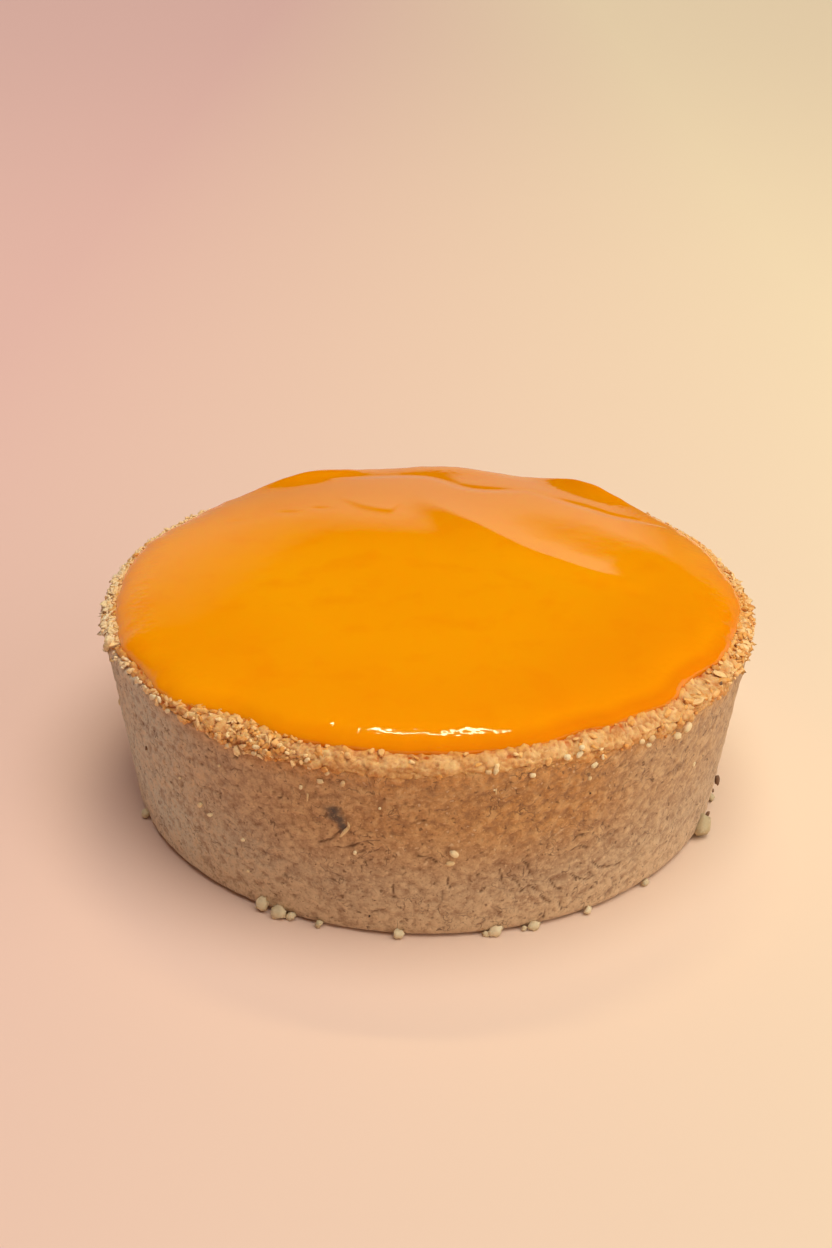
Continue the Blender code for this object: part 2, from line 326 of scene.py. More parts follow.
def layered(tree, colour, layers):
    """The colour under layers of (value, where one starts, where it is full, how full, its colour)."""
    for value, start, full, most, paint in layers:
        colour = blend(tree, span(tree, value, start, full, 0.0, most), colour, paint)
    return colour


def bumps(tree, height, strength, depth):
    """A normal that follows this height."""
    inputs = {"Height": height, "Strength": strength, "Distance": depth}
    return wire(tree, "ShaderNodeBump", inputs).outputs["Normal"]


# %% [markdown]
# ## The studio
# The paper behind the photographed tart runs from a dusty pink on the left to cream on the right.
# Here it is a wide floor, and above the horizon the world carries on in paler tones of the two,
# like a lit screen all round. Gel mirrors whatever stands behind it, the more so at grazing angles.
# So a low screen gives the gel's far side its haze, while the dark above it leaves the middle a
# deep orange. The screen ends 21 degrees up on the right and 30 at the far left, and its flanks
# behind the tart are dimmer.

# %% Floor
PAPER_PINK = (0.76, 0.475, 0.42, 1)
PAPER_CREAM = (0.87, 0.70, 0.48, 1)
FLOOR_RADIUS = 3.0
FLOOR_CORNERS = 96
PAPER_HALF_WIDTH = 0.11  # metres from the middle to where each colour is pure


def floor_paper():
    """Matt paper, pink on the left and cream on the right."""
    material, tree, shader = new_material("floor_paper")
    place = wire(tree, "ShaderNodeTexCoord").outputs["Object"]
    across = wire(tree, "ShaderNodeSeparateXYZ", {0: place}).outputs["X"]
    share = span(tree, across, -PAPER_HALF_WIDTH, PAPER_HALF_WIDTH)
    colour = blend(tree, share, PAPER_PINK, PAPER_CREAM)
    plug(tree, shader, {"Base Color": colour, "Roughness": 1.0, "Specular IOR Level": 0.0})
    return material


def make_floor():
    bm = bmesh.new()
    bmesh.ops.create_circle(bm, cap_ends=True, radius=FLOOR_RADIUS, segments=FLOOR_CORNERS)
    piece = add_object("paper_floor", new_mesh("paper_floor", bm))
    piece.data.materials.append(floor_paper())


make_floor()
print(f"paper floor {2 * FLOOR_RADIUS:.0f} m across")

# %% The lit screen round the studio
SCREEN_PINK = (0.73, 0.575, 0.53, 1)
SCREEN_CREAM = (0.74, 0.66, 0.53, 1)
SCREEN_FULL = math.radians(20.5)  # up to this height over the horizon the screen is at full light
SCREEN_END = (math.radians(25.3), math.radians(21.5))  # where its light is gone: left of the middle, right
SCREEN_TURNS = (-0.10, 0.20)  # how far those two are sideways, as a part of the way to each side
SCREEN_CORNER = (-0.21, 0.075)  # the far left, sideways, and how much higher it ends there, as a sine
SCREEN_LEFT = (-0.13, -0.01, 0.60, 1.0)  # from here to there, sideways, its light goes from this to that
SCREEN_RIGHT = (0.15, 0.23, 1.0, 0.2)  # the same on the right
SCREEN_BACK = (0.80, 0.65, 0.0, 1.0)  # the right is dim behind only: forwards of this it is lit after all


def lit_screen():
    world = bpy.data.worlds.new("lit_screen")
    world.use_nodes = True
    tree = world.node_tree
    way = wire(tree, "ShaderNodeTexCoord").outputs["Generated"]
    way = wire(tree, "ShaderNodeSeparateXYZ", {0: way}).outputs
    colour = blend(tree, span(tree, way["X"], -0.5, 0.5), SCREEN_PINK, SCREEN_CREAM)
    end = span(tree, way["X"], *SCREEN_TURNS, *map(math.sin, SCREEN_END))
    far_left, higher = SCREEN_CORNER
    end = calc(tree, "ADD", end, span(tree, way["X"], far_left, SCREEN_TURNS[0], higher, 0.0))
    light = span(tree, way["Z"], math.sin(SCREEN_FULL), end, 1.0, 0.0)
    right = calc(tree, "MAXIMUM", span(tree, way["X"], *SCREEN_RIGHT), span(tree, way["Y"], *SCREEN_BACK))
    for flank in (right, span(tree, way["X"], *SCREEN_LEFT)):
        light = calc(tree, "MULTIPLY", light, flank)
    plug(tree, tree.nodes["Background"], {"Color": colour, "Strength": light})
    return world


bpy.context.scene.world = lit_screen()
print("screen lit up to", round(math.degrees(SCREEN_FULL), 1), "degrees")

# %% [markdown]
# ## The lamps
# A broad soft light stands high up in front on the right. It is set as a sun with a wide disc,
# because that lights the floor evenly however far it runs. A near fill lamp, low on the right in
# front, lightens the side on that flank, and the gel mirrors neither of the two. High over the back
# hangs a narrow strip lamp, whose mirror image is the thin bright line along the front of the dome.

# %% Lamps
KEY_WAY = (78, 130)  # a lamp's elevation and its turn from straight behind to the right, in degrees
KEY_SPREAD = math.radians(50)
KEY_STRENGTH = 2.50
FILL_WAY = (27, 118)
FILL_DISTANCE = 0.50
FILL_SIZE = 0.45
FILL_POWER = 0.86
STRIP_WAY = (64, 2.9)
STRIP_DISTANCE = 0.60
STRIP_SIZE = (0.174, 0.021)
STRIP_POWER = 0.43
LAMP_WHITE = (1.0, 0.98, 0.93)
LAMP_CREAM = (1.0, 0.88, 0.52)
TART_MIDDLE = Vector((0.0, 0.0, 28.0)) * MM


def add_lamp(name, kind, way, distance, energy, colour, **settings):
    """A lamp that looks at the tart's middle."""
    data = bpy.data.lights.new(name, kind)
    data.color, data.energy = colour, energy
    for key, value in settings.items():
        setattr(data, key, value)
    elevation, turn = map(math.radians, way)
    level = math.cos(elevation)
    to_lamp = Vector((level * math.sin(turn), level * math.cos(turn), math.sin(elevation)))
    lamp = add_object(name, data)
    aim(lamp, TART_MIDDLE + to_lamp * distance, -to_lamp)
    return lamp


key = add_lamp("soft_key", "SUN", KEY_WAY, 1.0, KEY_STRENGTH, LAMP_WHITE, angle=KEY_SPREAD)
fill = add_lamp("near_fill", "AREA", FILL_WAY, FILL_DISTANCE, FILL_POWER, LAMP_WHITE, size=FILL_SIZE)
for lamp in (key, fill):
    lamp.visible_glossy = False
add_lamp(
    "strip_lamp", "AREA", STRIP_WAY, STRIP_DISTANCE, STRIP_POWER, LAMP_CREAM,
    shape="RECTANGLE", size=STRIP_SIZE[0], size_y=STRIP_SIZE[1],
)
print("a soft key, a near fill and a strip lamp")

# %% [markdown]
# ## Where the crumb is loose
# The side was pressed against a ring and is smooth from afar. Above a ragged line, the fringe, the
# crumb is loose and stands proud. The fringe's height is listed round the tart, as are how densely
# loose crumbs lie there and how far they lean over the gel. The back is much like the front.

# %% The rim, all round
FRINGE = (  # angle in degrees, height in millimetres
    (0, 26.1), (25, 26.5), (60, 25.9), (100, 26.3), (140, 25.8), (175, 25.7), (198, 26.8), (206, 27.7),
    (217, 27.6), (222, 26.6), (228, 26.4), (235, 25.6), (242, 25.3), (251, 25.2), (258, 25.5),
    (266, 25.2), (273, 25.7), (281, 26.2), (289, 26.1), (295, 25.2), (301, 25.7), (307, 26.0),
    (311, 24.9), (316, 24.8), (320, 25.9), (326, 25.7), (331, 25.1), (336, 26.3), (347, 26.0),
)
CROWD = (  # angle in degrees, share of the loose crumbs kept, how far they lean over the gel in mm
    (0, 0.7, 0.1), (30, 0.6, 0.2), (60, 0.4, 0.0), (90, 0.4, 0.0), (120, 0.4, 0.0), (150, 0.5, 0.2),
    (180, 0.7, 0.1), (199, 0.5, 0.1), (203, 0.06, 0.0), (217, 0.05, 0.0), (221, 0.15, 0.1),
    (227, 0.4, 0.6), (232, 0.75, 1.0), (243, 0.75, 0.9), (248, 0.45, 0.4), (253, 0.15, 0.1),
    (258, 0.04, 0.2), (288, 0.04, 0.2), (293, 0.08, 0.2), (300, 0.08, 0.2), (312, 0.06, 0.3),
    (318, 0.04, 0.1), (322, 0.03, 0.0), (331, 0.05, 0.0), (336, 0.5, 0.1), (350, 0.7, 0.1),
)
RIM_LOOK = (  # angle in degrees, how lumpy the rim is, how pale it is
    (0, 0.9, 0.8), (40, 0.8, 0.6), (90, 0.6, 0.5), (140, 0.8, 0.6), (180, 1.0, 0.8), (200, 0.9, 0.8),
    (206, 0.5, 0.6), (218, 0.5, 0.6), (228, 1.0, 0.6), (246, 0.9, 0.6), (256, 0.55, 0.5), (264, 0.5, 0.6),
    (280, 0.5, 0.6), (290, 0.7, 0.6), (300, 0.8, 0.75), (316, 0.8, 0.75), (330, 0.6, 0.8), (340, 1.0, 0.9),
)
BACK_DIP = 0.75 * MM  # at the back the gel stands over the rim and hides it from in front
DIP_REACH = 1.5  # millimetres under the side's top, where the dip begins


def fringe(angle):
    """Height in metres where the loose crumb ends and the smooth side begins."""
    return MM * round_the_tart(angle, FRINGE, 1)


def rim_dip(angle):
    """How much lower than elsewhere the rim is at this angle."""
    return BACK_DIP * smooth_step((np.sin(angle) - 0.55) / 0.35)


def dipped(angles, heights):
    """How far points at these angles and heights go down with the rim."""
    return rim_dip(angles) * rise(heights - SIDE_HEIGHT, -DIP_REACH, DIP_REACH)


print(f"fringe from {min(h for _, h in FRINGE)} to {max(h for _, h in FRINGE)} mm up")

# %% [markdown]
# ## The crust's body
# The body is one turned mesh: the underside, the side, a plain top that the rim will cover, and the
# inner wall under the gel. Only what shows is cut finely, fine enough for dents, crumbs, pits and
# cracks to be real relief.

# %% Crust profile
CRUST_SECTORS = 888
SIDE_SPACING = 0.31 * MM
HIDDEN_SPACING = 9.0 * MM


def crust_stretches():
    """From the middle of the underside, up the outside, over the top and down the inside."""
    inner_top = RIM_RADIUS - WALL_THICKNESS
    inner_base = BASE_RADIUS - WALL_THICKNESS
    lean = math.atan2(RIM_RADIUS - BASE_RADIUS, SIDE_HEIGHT)
    centre = side_radius(BASE_ROUNDING) - BASE_ROUNDING
    stretches = [((0.0, 0.0), None), ((centre, 0.0), HIDDEN_SPACING)]
    for step in range(1, 5):
        turn = -math.pi / 2 + (math.pi / 2 - lean) * step / 4
        point = (centre + BASE_ROUNDING * math.cos(turn), BASE_ROUNDING * (1 + math.sin(turn)))
        stretches.append((point, 1.0))
    stretches += [
        ((RIM_RADIUS, SIDE_HEIGHT), SIDE_SPACING),
        ((RIM_RADIUS - 0.15 * MM, SIDE_HEIGHT + 0.7 * MM), SIDE_SPACING),
        ((RIM_RADIUS - 0.8 * MM, SIDE_HEIGHT + 1.15 * MM), SIDE_SPACING),
        ((GEL_EDGE_RADIUS, SIDE_HEIGHT + 1.45 * MM), SIDE_SPACING),
        ((GEL_EDGE_RADIUS - 0.8 * MM, SIDE_HEIGHT + 0.9 * MM), 0.8 * MM),
        ((inner_top, SIDE_HEIGHT - 1.2 * MM), 1.0 * MM),
        ((inner_base, FLOOR_THICKNESS), HIDDEN_SPACING),
        ((0.0, FLOOR_THICKNESS), HIDDEN_SPACING),
    ]
    return stretches


crust = turned_piece("crust_body", crust_stretches(), CRUST_SECTORS)
print("crust body:", len(crust.data.vertices), "points")

# %% [markdown]
# ## Cracks and pits
# Cracks are short lines that wander over the side. The most visible ones are placed where the
# photographed tart has them, and seeded random walks add the rest all round. Each carves a shallow
# groove, and how deep a point lies in one is kept on the mesh, so that the material can paint shade
# into it, as it does into the pits.

# %% Cracks and pits
SIDE_SEED = 11
SEEN_CRACKS = (  # points (angle in degrees, height in millimetres) along each
    ((253.0, 14.2), (255.0, 15.0), (256.8, 16.6)),
    ((256.0, 14.0), (258.5, 14.3), (260.0, 15.2), (261.0, 14.2)),
    ((222.0, 24.2), (223.2, 22.9), (224.0, 22.6)),
    ((286.6, 6.5), (287.2, 7.1), (288.4, 7.2), (289.4, 6.4)),
    ((294.5, 11.6), (296.2, 12.4), (298.2, 11.4)),
    ((286.3, 11.8), (287.4, 10.8), (287.8, 9.4)),
    ((282.6, 10.9), (282.9, 9.8), (283.2, 8.9)),
    ((284.9, 9.0), (285.8, 8.4), (286.6, 7.1)),
    ((290.2, 5.4), (291.2, 4.5), (292.3, 3.8)),
    ((294.1, 3.5), (294.8, 1.9)),
    ((295.6, 7.8), (296.9, 6.9), (299.1, 6.1), (300.3, 6.3)),
    ((295.1, 13.4), (295.8, 13.9), (297.0, 14.0)),
    ((291.6, 7.8), (292.8, 6.3), (294.1, 5.6)),
    ((265.0, 8.5), (265.4, 6.7)),
    ((261.6, 4.0), (262.4, 4.3), (263.4, 4.4)),
    ((274.2, 10.3), (273.9, 9.3), (274.5, 8.5)),
    ((269.1, 13.7), (270.7, 13.6), (271.9, 12.9)),
    ((299.5, 9.0), (301.0, 7.6), (303.5, 6.9), (306.0, 6.6)),
)
CRACK_COUNT = 400
CRACK_HALF_WIDTH = 0.16 * MM
CRACK_DEPTH = 0.20 * MM
PIT_COUNT = 2200
PIT_DEPTH = 0.22 * MM
STAIN = ((255.8, 19.4, 1.05), (256.5, 18.6, 0.95), (257.1, 17.4, 0.7))  # degrees, height and radius in mm


def random_crack(rng):
    """A short walk over the unrolled side, as points (arc length, height)."""
    at = Vector((rng.uniform(0, math.tau) * RIM_RADIUS, rng.uniform(1.5, 24.5) * MM))
    heading = rng.uniform(0, math.tau)
    curl = rng.uniform(-0.9, 0.9)
    walk = [at.copy()]
    for _ in range(rng.randint(2, 6)):
        at += Vector((math.cos(heading), math.sin(heading))) * rng.uniform(0.25, 0.6) * MM
        heading += curl + rng.uniform(-0.4, 0.4)
        walk.append(at.copy())
    return walk


def carve_lines(arc, height, walks):
    """How far into a crack each point lies, from 0 to 1, for points (arc length, height) of the side."""
    depth = np.zeros(len(arc))
    for walk, strength in walks:
        for a, b in zip(walk, walk[1:]):
            reach = (b - a).length / 2 + 3 * CRACK_HALF_WIDTH
            middle = (a + b) / 2
            near = np.flatnonzero((abs(arc - middle.x) < reach) & (abs(height - middle.y) < reach))
            across, up = arc[near] - a.x, height[near] - a.y
            step = b - a
            share = np.clip((across * step.x + up * step.y) / step.length_squared, 0, 1)
            away = np.hypot(across - share * step.x, up - share * step.y)
            depth[near] = np.maximum(depth[near], strength * np.exp(-((away / CRACK_HALF_WIDTH) ** 2)))
    return depth


def carve_pits(arc, height, rng):
    """How far into a pit each point of the side lies, from 0 to 1."""
    depth = np.zeros(len(arc))
    for _ in range(PIT_COUNT):
        x, y = rng.uniform(0, math.tau) * RIM_RADIUS, rng.uniform(1.0, 25.0) * MM
        radius = rng.uniform(0.11, 0.30) * MM
        near = np.flatnonzero((abs(arc - x) < 3 * radius) & (abs(height - y) < 3 * radius))
        away = np.hypot(arc[near] - x, height[near] - y)
        pit = rng.uniform(0.3, 1.0) * np.exp(-((away / radius) ** 2))
        depth[near] = np.maximum(depth[near], pit)
    return depth


side_rng = random.Random(SIDE_SEED)
crack_walks = [
    ([Vector((math.radians(a) * RIM_RADIUS, h * MM)) for a, h in crack], 0.9) for crack in SEEN_CRACKS
]
crack_walks += [(random_crack(side_rng), side_rng.uniform(0.2, 0.6)) for _ in range(CRACK_COUNT)]
print(len(crack_walks), "cracks and", PIT_COUNT, "pits")

# %% [markdown]
# ## Relief on the side
# The points of the turned mesh move along their normals: by the long soft dents that the solid has
# too, by rounded crumbs pressed flat, most of all high up where the wall was pressed least, and
# down into cracks and pits. The masks are kept on the points, because the material changes with
# them: painted shade in cracks, pits and the grooves between crumbs, painted light on the grain's
# tops, a foot painted paler as bounce from the floor, a left flank that is partly ashen and partly
# painted sheen, and a warm patch in front where juice has soaked through.

# %% Relief on the side
LUMPY = (  # angle in degrees, how lumpy the side is there
    (0, 0.5), (40, 0.7), (90, 0.5), (150, 0.8), (200, 0.35), (225, 0.5), (250, 0.7), (278, 0.8),
    (288, 1.3), (300, 1.1), (312, 0.5), (340, 0.3),
)
WARM = (  # angle in degrees, how much the side is soaked there, how ashen it is, partly painted sheen
    (0, 0.1, 0.0), (60, 0.5, 0.2), (110, 0.2, 0.6), (170, 0.1, 1.0), (208, 0.0, 1.0), (222, 0.1, 0.85),
    (232, 0.22, 0.45), (250, 0.58, 0.1), (268, 0.8, 0.0), (285, 1.0, 0.0), (297, 0.9, 0.0),
    (308, 0.4, 0.0), (325, 0.35, 0.0), (345, 0.3, 0.0),
)
rest, normals, angles, radii, heights = surface(crust)
shell = np.where(heights > SIDE_HEIGHT + 0.1 * MM, GEL_EDGE_RADIUS, side_radius(heights) - 0.3 * MM)
outside = rise(radii - shell, -0.4, 0.4) * rise(heights, 0.2, 1.0)
above_fringe = rise(heights - fringe(angles), 0.2, 0.5) * outside
on_side = outside * (1 - above_fringe)
arc_lengths = angles * RIM_RADIUS
crack_depth = carve_lines(arc_lengths, heights, crack_walks) * on_side
pit_depth = carve_pits(arc_lengths, heights, side_rng) * on_side
lumpy = round_the_tart(angles, LUMPY, 1) * (0.35 + 0.65 * rise(heights, 6, 12))
side_lumps = lumpy * (lumps_at(rest, 620, 0.3, 3.0) - 0.5)
grain = rough(rest, (0.13, 850, 2.0), (0.10, 1500, 4.0))
soft_dents = rough(rest, (0.16, 95, 0.0), (0.08, 260, 0.0))
push = outside * (soft_dents + grain + 0.16 * MM * side_lumps)
push -= CRACK_DEPTH * crack_depth + PIT_DEPTH * pit_depth + 0.35 * MM * above_fringe
moved = rest + normals * push[:, None]
moved[:, 2] -= dipped(angles, heights)
move_points(crust, moved)
stain = np.zeros(len(rest))
for degrees, height, radius in STAIN:
    away = np.hypot(arc_lengths - math.radians(degrees) * RIM_RADIUS, heights - height * MM) / (radius * MM)
    stain = np.maximum(stain, smooth_step(1.5 - away + 0.5 * noise_at(rest, 1100, 21.0)) * (away < 3))
golden = round_the_tart(angles, WARM, 1)
below_fringe = fringe(angles) - heights + rough(rest, (0.8, 300, 8.0))
store(
    crust.data,
    # where the body above the fringe is painted in crevice shade
    loose_crumb=above_fringe,
    # painted shade in cracks and pits
    hollow=np.clip(1.1 * crack_depth + 0.9 * pit_depth, 0, 1),
    warm=golden * rise(heights, 7, 12),
    # partly a greyer tone, partly painted sheen on the left flank
    ashen=round_the_tart(angles, WARM, 2),
    # painted light: the side's foot paler, standing in for bounce from the floor
    low=1 - rise(heights, 1, 8),
    # painted light and shade: the grain's tops paler, its hollows darker
    height=np.clip(0.5 + grain / (0.16 * MM), 0, 1),
    toast=(0.25 + 0.75 * golden) * (1 - rise(below_fringe, 0, 2.6)),
    stain=stain,
    # painted shade in the grooves between pressed crumbs
    lump=np.clip(0.5 + side_lumps, 0, 1),
)
print(f"relief from {push.min() / MM:.2f} to {push.max() / MM:.2f} mm")

# %% [markdown]
# ## The side's colours
# Baked crumb is a warm brown with paler specks. The browns are mixed by noise at three sizes: wide
# clouds, mottling a millimetre across, and a grain finer than the mesh. Hairline cracks, finer
# than any mesh, are drawn as dark lines of painted shade where a noise crosses its own middle
# value, and fade in and out with a second, broader noise. Light and shade are also painted by the
# relief: darker in cracks, pits and grooves, paler on the grain's tops and towards the foot.

# %% Side material
SIDE_BROWN = (0.475, 0.308, 0.178, 1)
SIDE_WARM = (0.515, 0.223, 0.060, 1)
SIDE_ASHEN = (0.61, 0.60, 0.47, 1)
SIDE_PALE = (0.72, 0.49, 0.28, 1)
SIDE_GOLD = (0.70, 0.40, 0.163, 1)
SIDE_RED = (0.27, 0.125, 0.058, 1)
SIDE_DARK = (0.15, 0.068, 0.03, 1)
STAIN_GREY = (0.105, 0.072, 0.055, 1)
# painted shade: a darker red-brown for the body where it shows between loose crumbs
CREVICE = (0.42, 0.145, 0.032, 1)
TOAST = (0.66, 0.30, 0.088, 1)  # just under the rim, where the side turns golden


def hairlines(tree):
    """1 on thin wandering lines, where the hairline cracks' shade is painted, 0 elsewhere."""
    wander = object_noise(tree, 480, 2.0, 0.5, 0.6)
    off_middle = calc(tree, "ABSOLUTE", calc(tree, "SUBTRACT", wander, 0.5), 0.0)
    here = span(tree, object_noise(tree, 240, 1.0, 0.5), 0.51, 0.56)
    return calc(tree, "MULTIPLY", span(tree, off_middle, 0.0, 0.014, 1.0, 0.0), here)


def side_finish():
    material, tree, shader = new_material("crumb_side_finish")
    clouds = span(tree, object_noise(tree, 110, 2), 0.35, 0.65)
    mottle = object_noise(tree, 780, 4, 0.62, 1.2)
    fine = object_noise(tree, 2600, 3, 0.7)
    flecks = object_noise(tree, 1250, 1, 0.5)
    lines = hairlines(tree)
    warm = stored(tree, "warm")
    pale = blend(tree, warm, SIDE_PALE, SIDE_GOLD)
    # the left flank greyer: partly its tone, partly painted sheen
    colour = blend(tree, stored(tree, "ashen"), SIDE_BROWN, SIDE_ASHEN)
    colour = layered(tree, blend(tree, warm, colour, SIDE_WARM), (
        (clouds, 0.0, 1.0, 0.30, pale),
        # painted light: paler towards the foot, as bounce from the floor
        (stored(tree, "low"), 0.0, 1.0, 0.50, pale),
        (stored(tree, "toast"), 0.0, 1.0, 0.85, TOAST),
        (mottle, 0.50, 0.70, 0.48, pale),
        (mottle, 0.48, 0.32, 0.48, SIDE_RED),
        (object_noise(tree, 480, 3, 0.6), 0.66, 0.72, 0.6, SIDE_RED),
        # painted shade in the grooves between pressed crumbs
        (stored(tree, "lump"), 0.45, 0.1, 0.4, SIDE_RED),
        # painted light and shade: grain hollows darker, grain tops paler
        (stored(tree, "height"), 0.42, 0.0, 0.50, SIDE_RED),
        (stored(tree, "height"), 0.60, 1.0, 0.45, pale),
        (stored(tree, "stain"), 0.0, 1.0, 1.0, STAIN_GREY),
        (fine, 0.45, 0.30, 0.7, SIDE_RED),
        (fine, 0.56, 0.70, 0.7, pale),
        (flecks, 0.70, 0.76, 0.7, SIDE_PALE),
        (flecks, 0.31, 0.26, 0.7, SIDE_DARK),
        # painted shade of the hairline cracks
        (lines, 0.0, 1.0, 0.8, SIDE_DARK),
        # painted shade in cracks and pits
        (stored(tree, "hollow"), 0.20, 0.85, 0.92, SIDE_DARK),
        # painted shade in the gaps above the fringe
        (stored(tree, "loose_crumb"), 0.0, 1.0, 1.0, CREVICE),
    ))
    height = calc(tree, "SUBTRACT", calc(tree, "ADD", fine, mottle), lines)
    plug(tree, shader, {
        "Base Color": colour, "Roughness": span(tree, mottle, 0.3, 0.7, 0.95, 0.75),
        "Normal": bumps(tree, height, 0.6, 0.12 * MM), "Specular IOR Level": 0.25,
        "Sheen Weight": 0.15, "Sheen Roughness": 0.5,
    })
    return material


crust.data.materials.append(side_finish())
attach(crust, "root")
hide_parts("crust")
print("side finished")

# %% [markdown]
# ## The rim's crumb
# On top the crumb was never pressed: rounded lumps have baked together, with grooves and pits
# between. A ring of its own covers the wall's top, because it needs a finer mesh than the side. Its
# relief is made of cells with rounded tops at two sizes, and below the fringe the ring dives into
# the side, so that its lower edge is as ragged as the real one.

# %% Rim ring
RING_SECTORS = 1740
RING_SPACING = 0.17 * MM
RING_SINK = 0.55 * MM
RING_FOOT = (side_radius(23.0 * MM), 23.0 * MM)  # radius and height of its lower edge, on the side
rim_profile = (  # points (radius, height), and the spacing up to each
    (RING_FOOT, None),
    ((RIM_RADIUS + 0.05 * MM, SIDE_HEIGHT), RING_SPACING),
    ((RIM_RADIUS - 0.05 * MM, SIDE_HEIGHT + 0.8 * MM), RING_SPACING),
    ((RIM_RADIUS - 0.6 * MM, SIDE_HEIGHT + 1.4 * MM), RING_SPACING),
    ((GEL_EDGE_RADIUS + 0.3 * MM, SIDE_HEIGHT + 1.75 * MM), RING_SPACING),
    ((GEL_EDGE_RADIUS - 0.15 * MM, SIDE_HEIGHT + 1.9 * MM), RING_SPACING),
    ((GEL_EDGE_RADIUS - 0.7 * MM, SIDE_HEIGHT + 1.3 * MM), RING_SPACING),
    ((GEL_EDGE_RADIUS - 1.6 * MM, SIDE_HEIGHT - 0.7 * MM), 1.0 * MM),
    ((side_radius(23.0 * MM) - 1.4 * MM, 23.4 * MM), 1.5 * MM),
    (RING_FOOT, 1.5 * MM),
)
ring = turned_piece("rim_crumb", rim_profile, RING_SECTORS)
rest, normals, angles, radii, heights = surface(ring)
lumpy = round_the_tart(angles, RIM_LOOK, 1)
ragged = rough(rest, (0.75, 420, 5.0), (0.4, 1100, 9.0))
softness = 1.6 - 1.2 * lumpy
shown = rise(heights - fringe(angles) + ragged, -softness / 2, softness)
flat_cells = rest * (1.0, 1.0, 1.35)
big_lumps = lumps_at(flat_cells, 560, 0.24, 1.0)
small_lumps = lumps_at(flat_cells, 1350, 0.25, 6.0)
at_gel = np.exp(-(((radii - GEL_EDGE_RADIUS) / (0.6 * MM)) ** 2)) * (heights > SIDE_HEIGHT)
by_gel = np.exp(-(((radii - GEL_EDGE_RADIUS - 0.2 * MM) / (0.9 * MM)) ** 2))
pits = smooth_step((noise_at(rest, 1250, 12.0) - 0.28) / 0.15)
pits *= 0.15 + 0.85 * by_gel * rise(heights - SIDE_HEIGHT, -0.5, 1.2)
relief = lumpy * 0.62 * MM * (big_lumps - 0.55) + (0.10 + 0.16 * lumpy) * MM * (small_lumps - 0.5)
relief += rough(rest, (0.28, 260, 4.0), (0.14, 900, 14.0))
relief = relief * (1 - 0.4 * at_gel) + at_gel * rough(rest, (0.42, 520, 17.0), (0.22, 1200, 19.0))
relief -= 0.28 * MM * pits * (1 - at_gel)
inside_wall = rise(side_radius(heights) - radii, 1.0, 0.6) * (heights < SIDE_HEIGHT)
push = (1 - inside_wall) * (shown * relief - (1 - shown) * RING_SINK)
moved = rest + normals * push[:, None]
near_gel = rise(RIM_RADIUS - radii, 0, 1.2) * rise(heights - SIDE_HEIGHT, -1, 1)
shift = np.minimum(gel_edge(angles) - GEL_EDGE_RADIUS, 0.7 * MM) * near_gel
moved[:, 0] += np.cos(angles) * shift
moved[:, 1] += np.sin(angles) * shift
moved[:, 2] -= dipped(angles, heights)
move_points(ring, moved)
from_gel = np.hypot(moved[:, 0], moved[:, 1]) - gel_edge(angles)
below_fringe = fringe(angles) - heights + rough(rest, (0.6, 300, 8.0))
store(
    ring.data,
    # painted shade: low in the grooves between lumps, high on their tops
    loft=0.5 + lumpy * (0.55 * big_lumps + 0.45 * small_lumps - 0.5),
    pit=pits,
    pale=round_the_tart(angles, RIM_LOOK, 2),
    juice=np.exp(-np.maximum(0, from_gel) / (0.6 * MM)),
    toast=rise(below_fringe, -1.6, 1.6),
)
print("rim ring:", len(ring.data.polygons), "faces")

# %% Rim material
RIM_DEEP = (0.50, 0.17, 0.045, 1)
RIM_GOLD = (0.64, 0.30, 0.092, 1)
RIM_PALE = (0.84, 0.54, 0.238, 1)
JUICE_RED = (0.55, 0.10, 0.008, 1)
JUICE_ORANGE = (0.86, 0.38, 0.06, 1)


def rim_finish():
    material, tree, shader = new_material("crumb_rim_finish")
    blotches = object_noise(tree, 520, 3, 0.55)
    speckle = object_noise(tree, 1300, 3, 0.6)
    fine = object_noise(tree, 3200, 2, 0.6)
    loft = stored(tree, "loft")
    pale = calc(tree, "MULTIPLY", stored(tree, "pale"), span(tree, blotches, 0.42, 0.60, 0.25, 1.0))
    # painted shade in the grooves between lumps, gold on their tops
    colour = blend(tree, span(tree, loft, 0.15, 0.50), RIM_DEEP, RIM_GOLD)
    soaked = blend(tree, span(tree, loft, 0.3, 0.6), JUICE_RED, JUICE_ORANGE)
    colour = layered(tree, blend(tree, pale, colour, RIM_PALE), (
        (loft, 0.38, 0.10, 0.7, RIM_DEEP),
        (stored(tree, "toast"), 0.0, 1.0, 0.85, TOAST),
        (speckle, 0.54, 0.68, 0.6, RIM_PALE),
        (speckle, 0.44, 0.34, 0.5, RIM_DEEP),
        (fine, 0.40, 0.28, 0.4, RIM_DEEP),
        (stored(tree, "juice"), 0.2, 1.0, 0.75, soaked),
        (stored(tree, "pit"), 0.2, 1.0, 0.85, JUICE_RED),
    ))
    plug(tree, shader, {
        "Base Color": colour, "Roughness": span(tree, speckle, 0.3, 0.7, 0.8, 0.55),
        "Normal": bumps(tree, calc(tree, "ADD", speckle, fine), 0.7, 0.10 * MM), "Specular IOR Level": 0.3,
        "Subsurface Weight": 0.35, "Subsurface Radius": (1.0, 0.5, 0.25), "Subsurface Scale": 0.9 * MM,
    })
    return material


ring.data.materials.append(rim_finish())
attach(ring, "root")
print("rim finished")

# %% [markdown]
# ## Loose crumbs
# What makes this rim look torn is about two thousand flakes and chips, half a millimetre to two
# millimetres long. A few dozen shapes are enough: each is a cube whose edges are cut twice, rounded,
# dented and bent, and has only 54 faces. Copies are turned, scaled and joined into one mesh, which
# is lighter than a thousand objects.

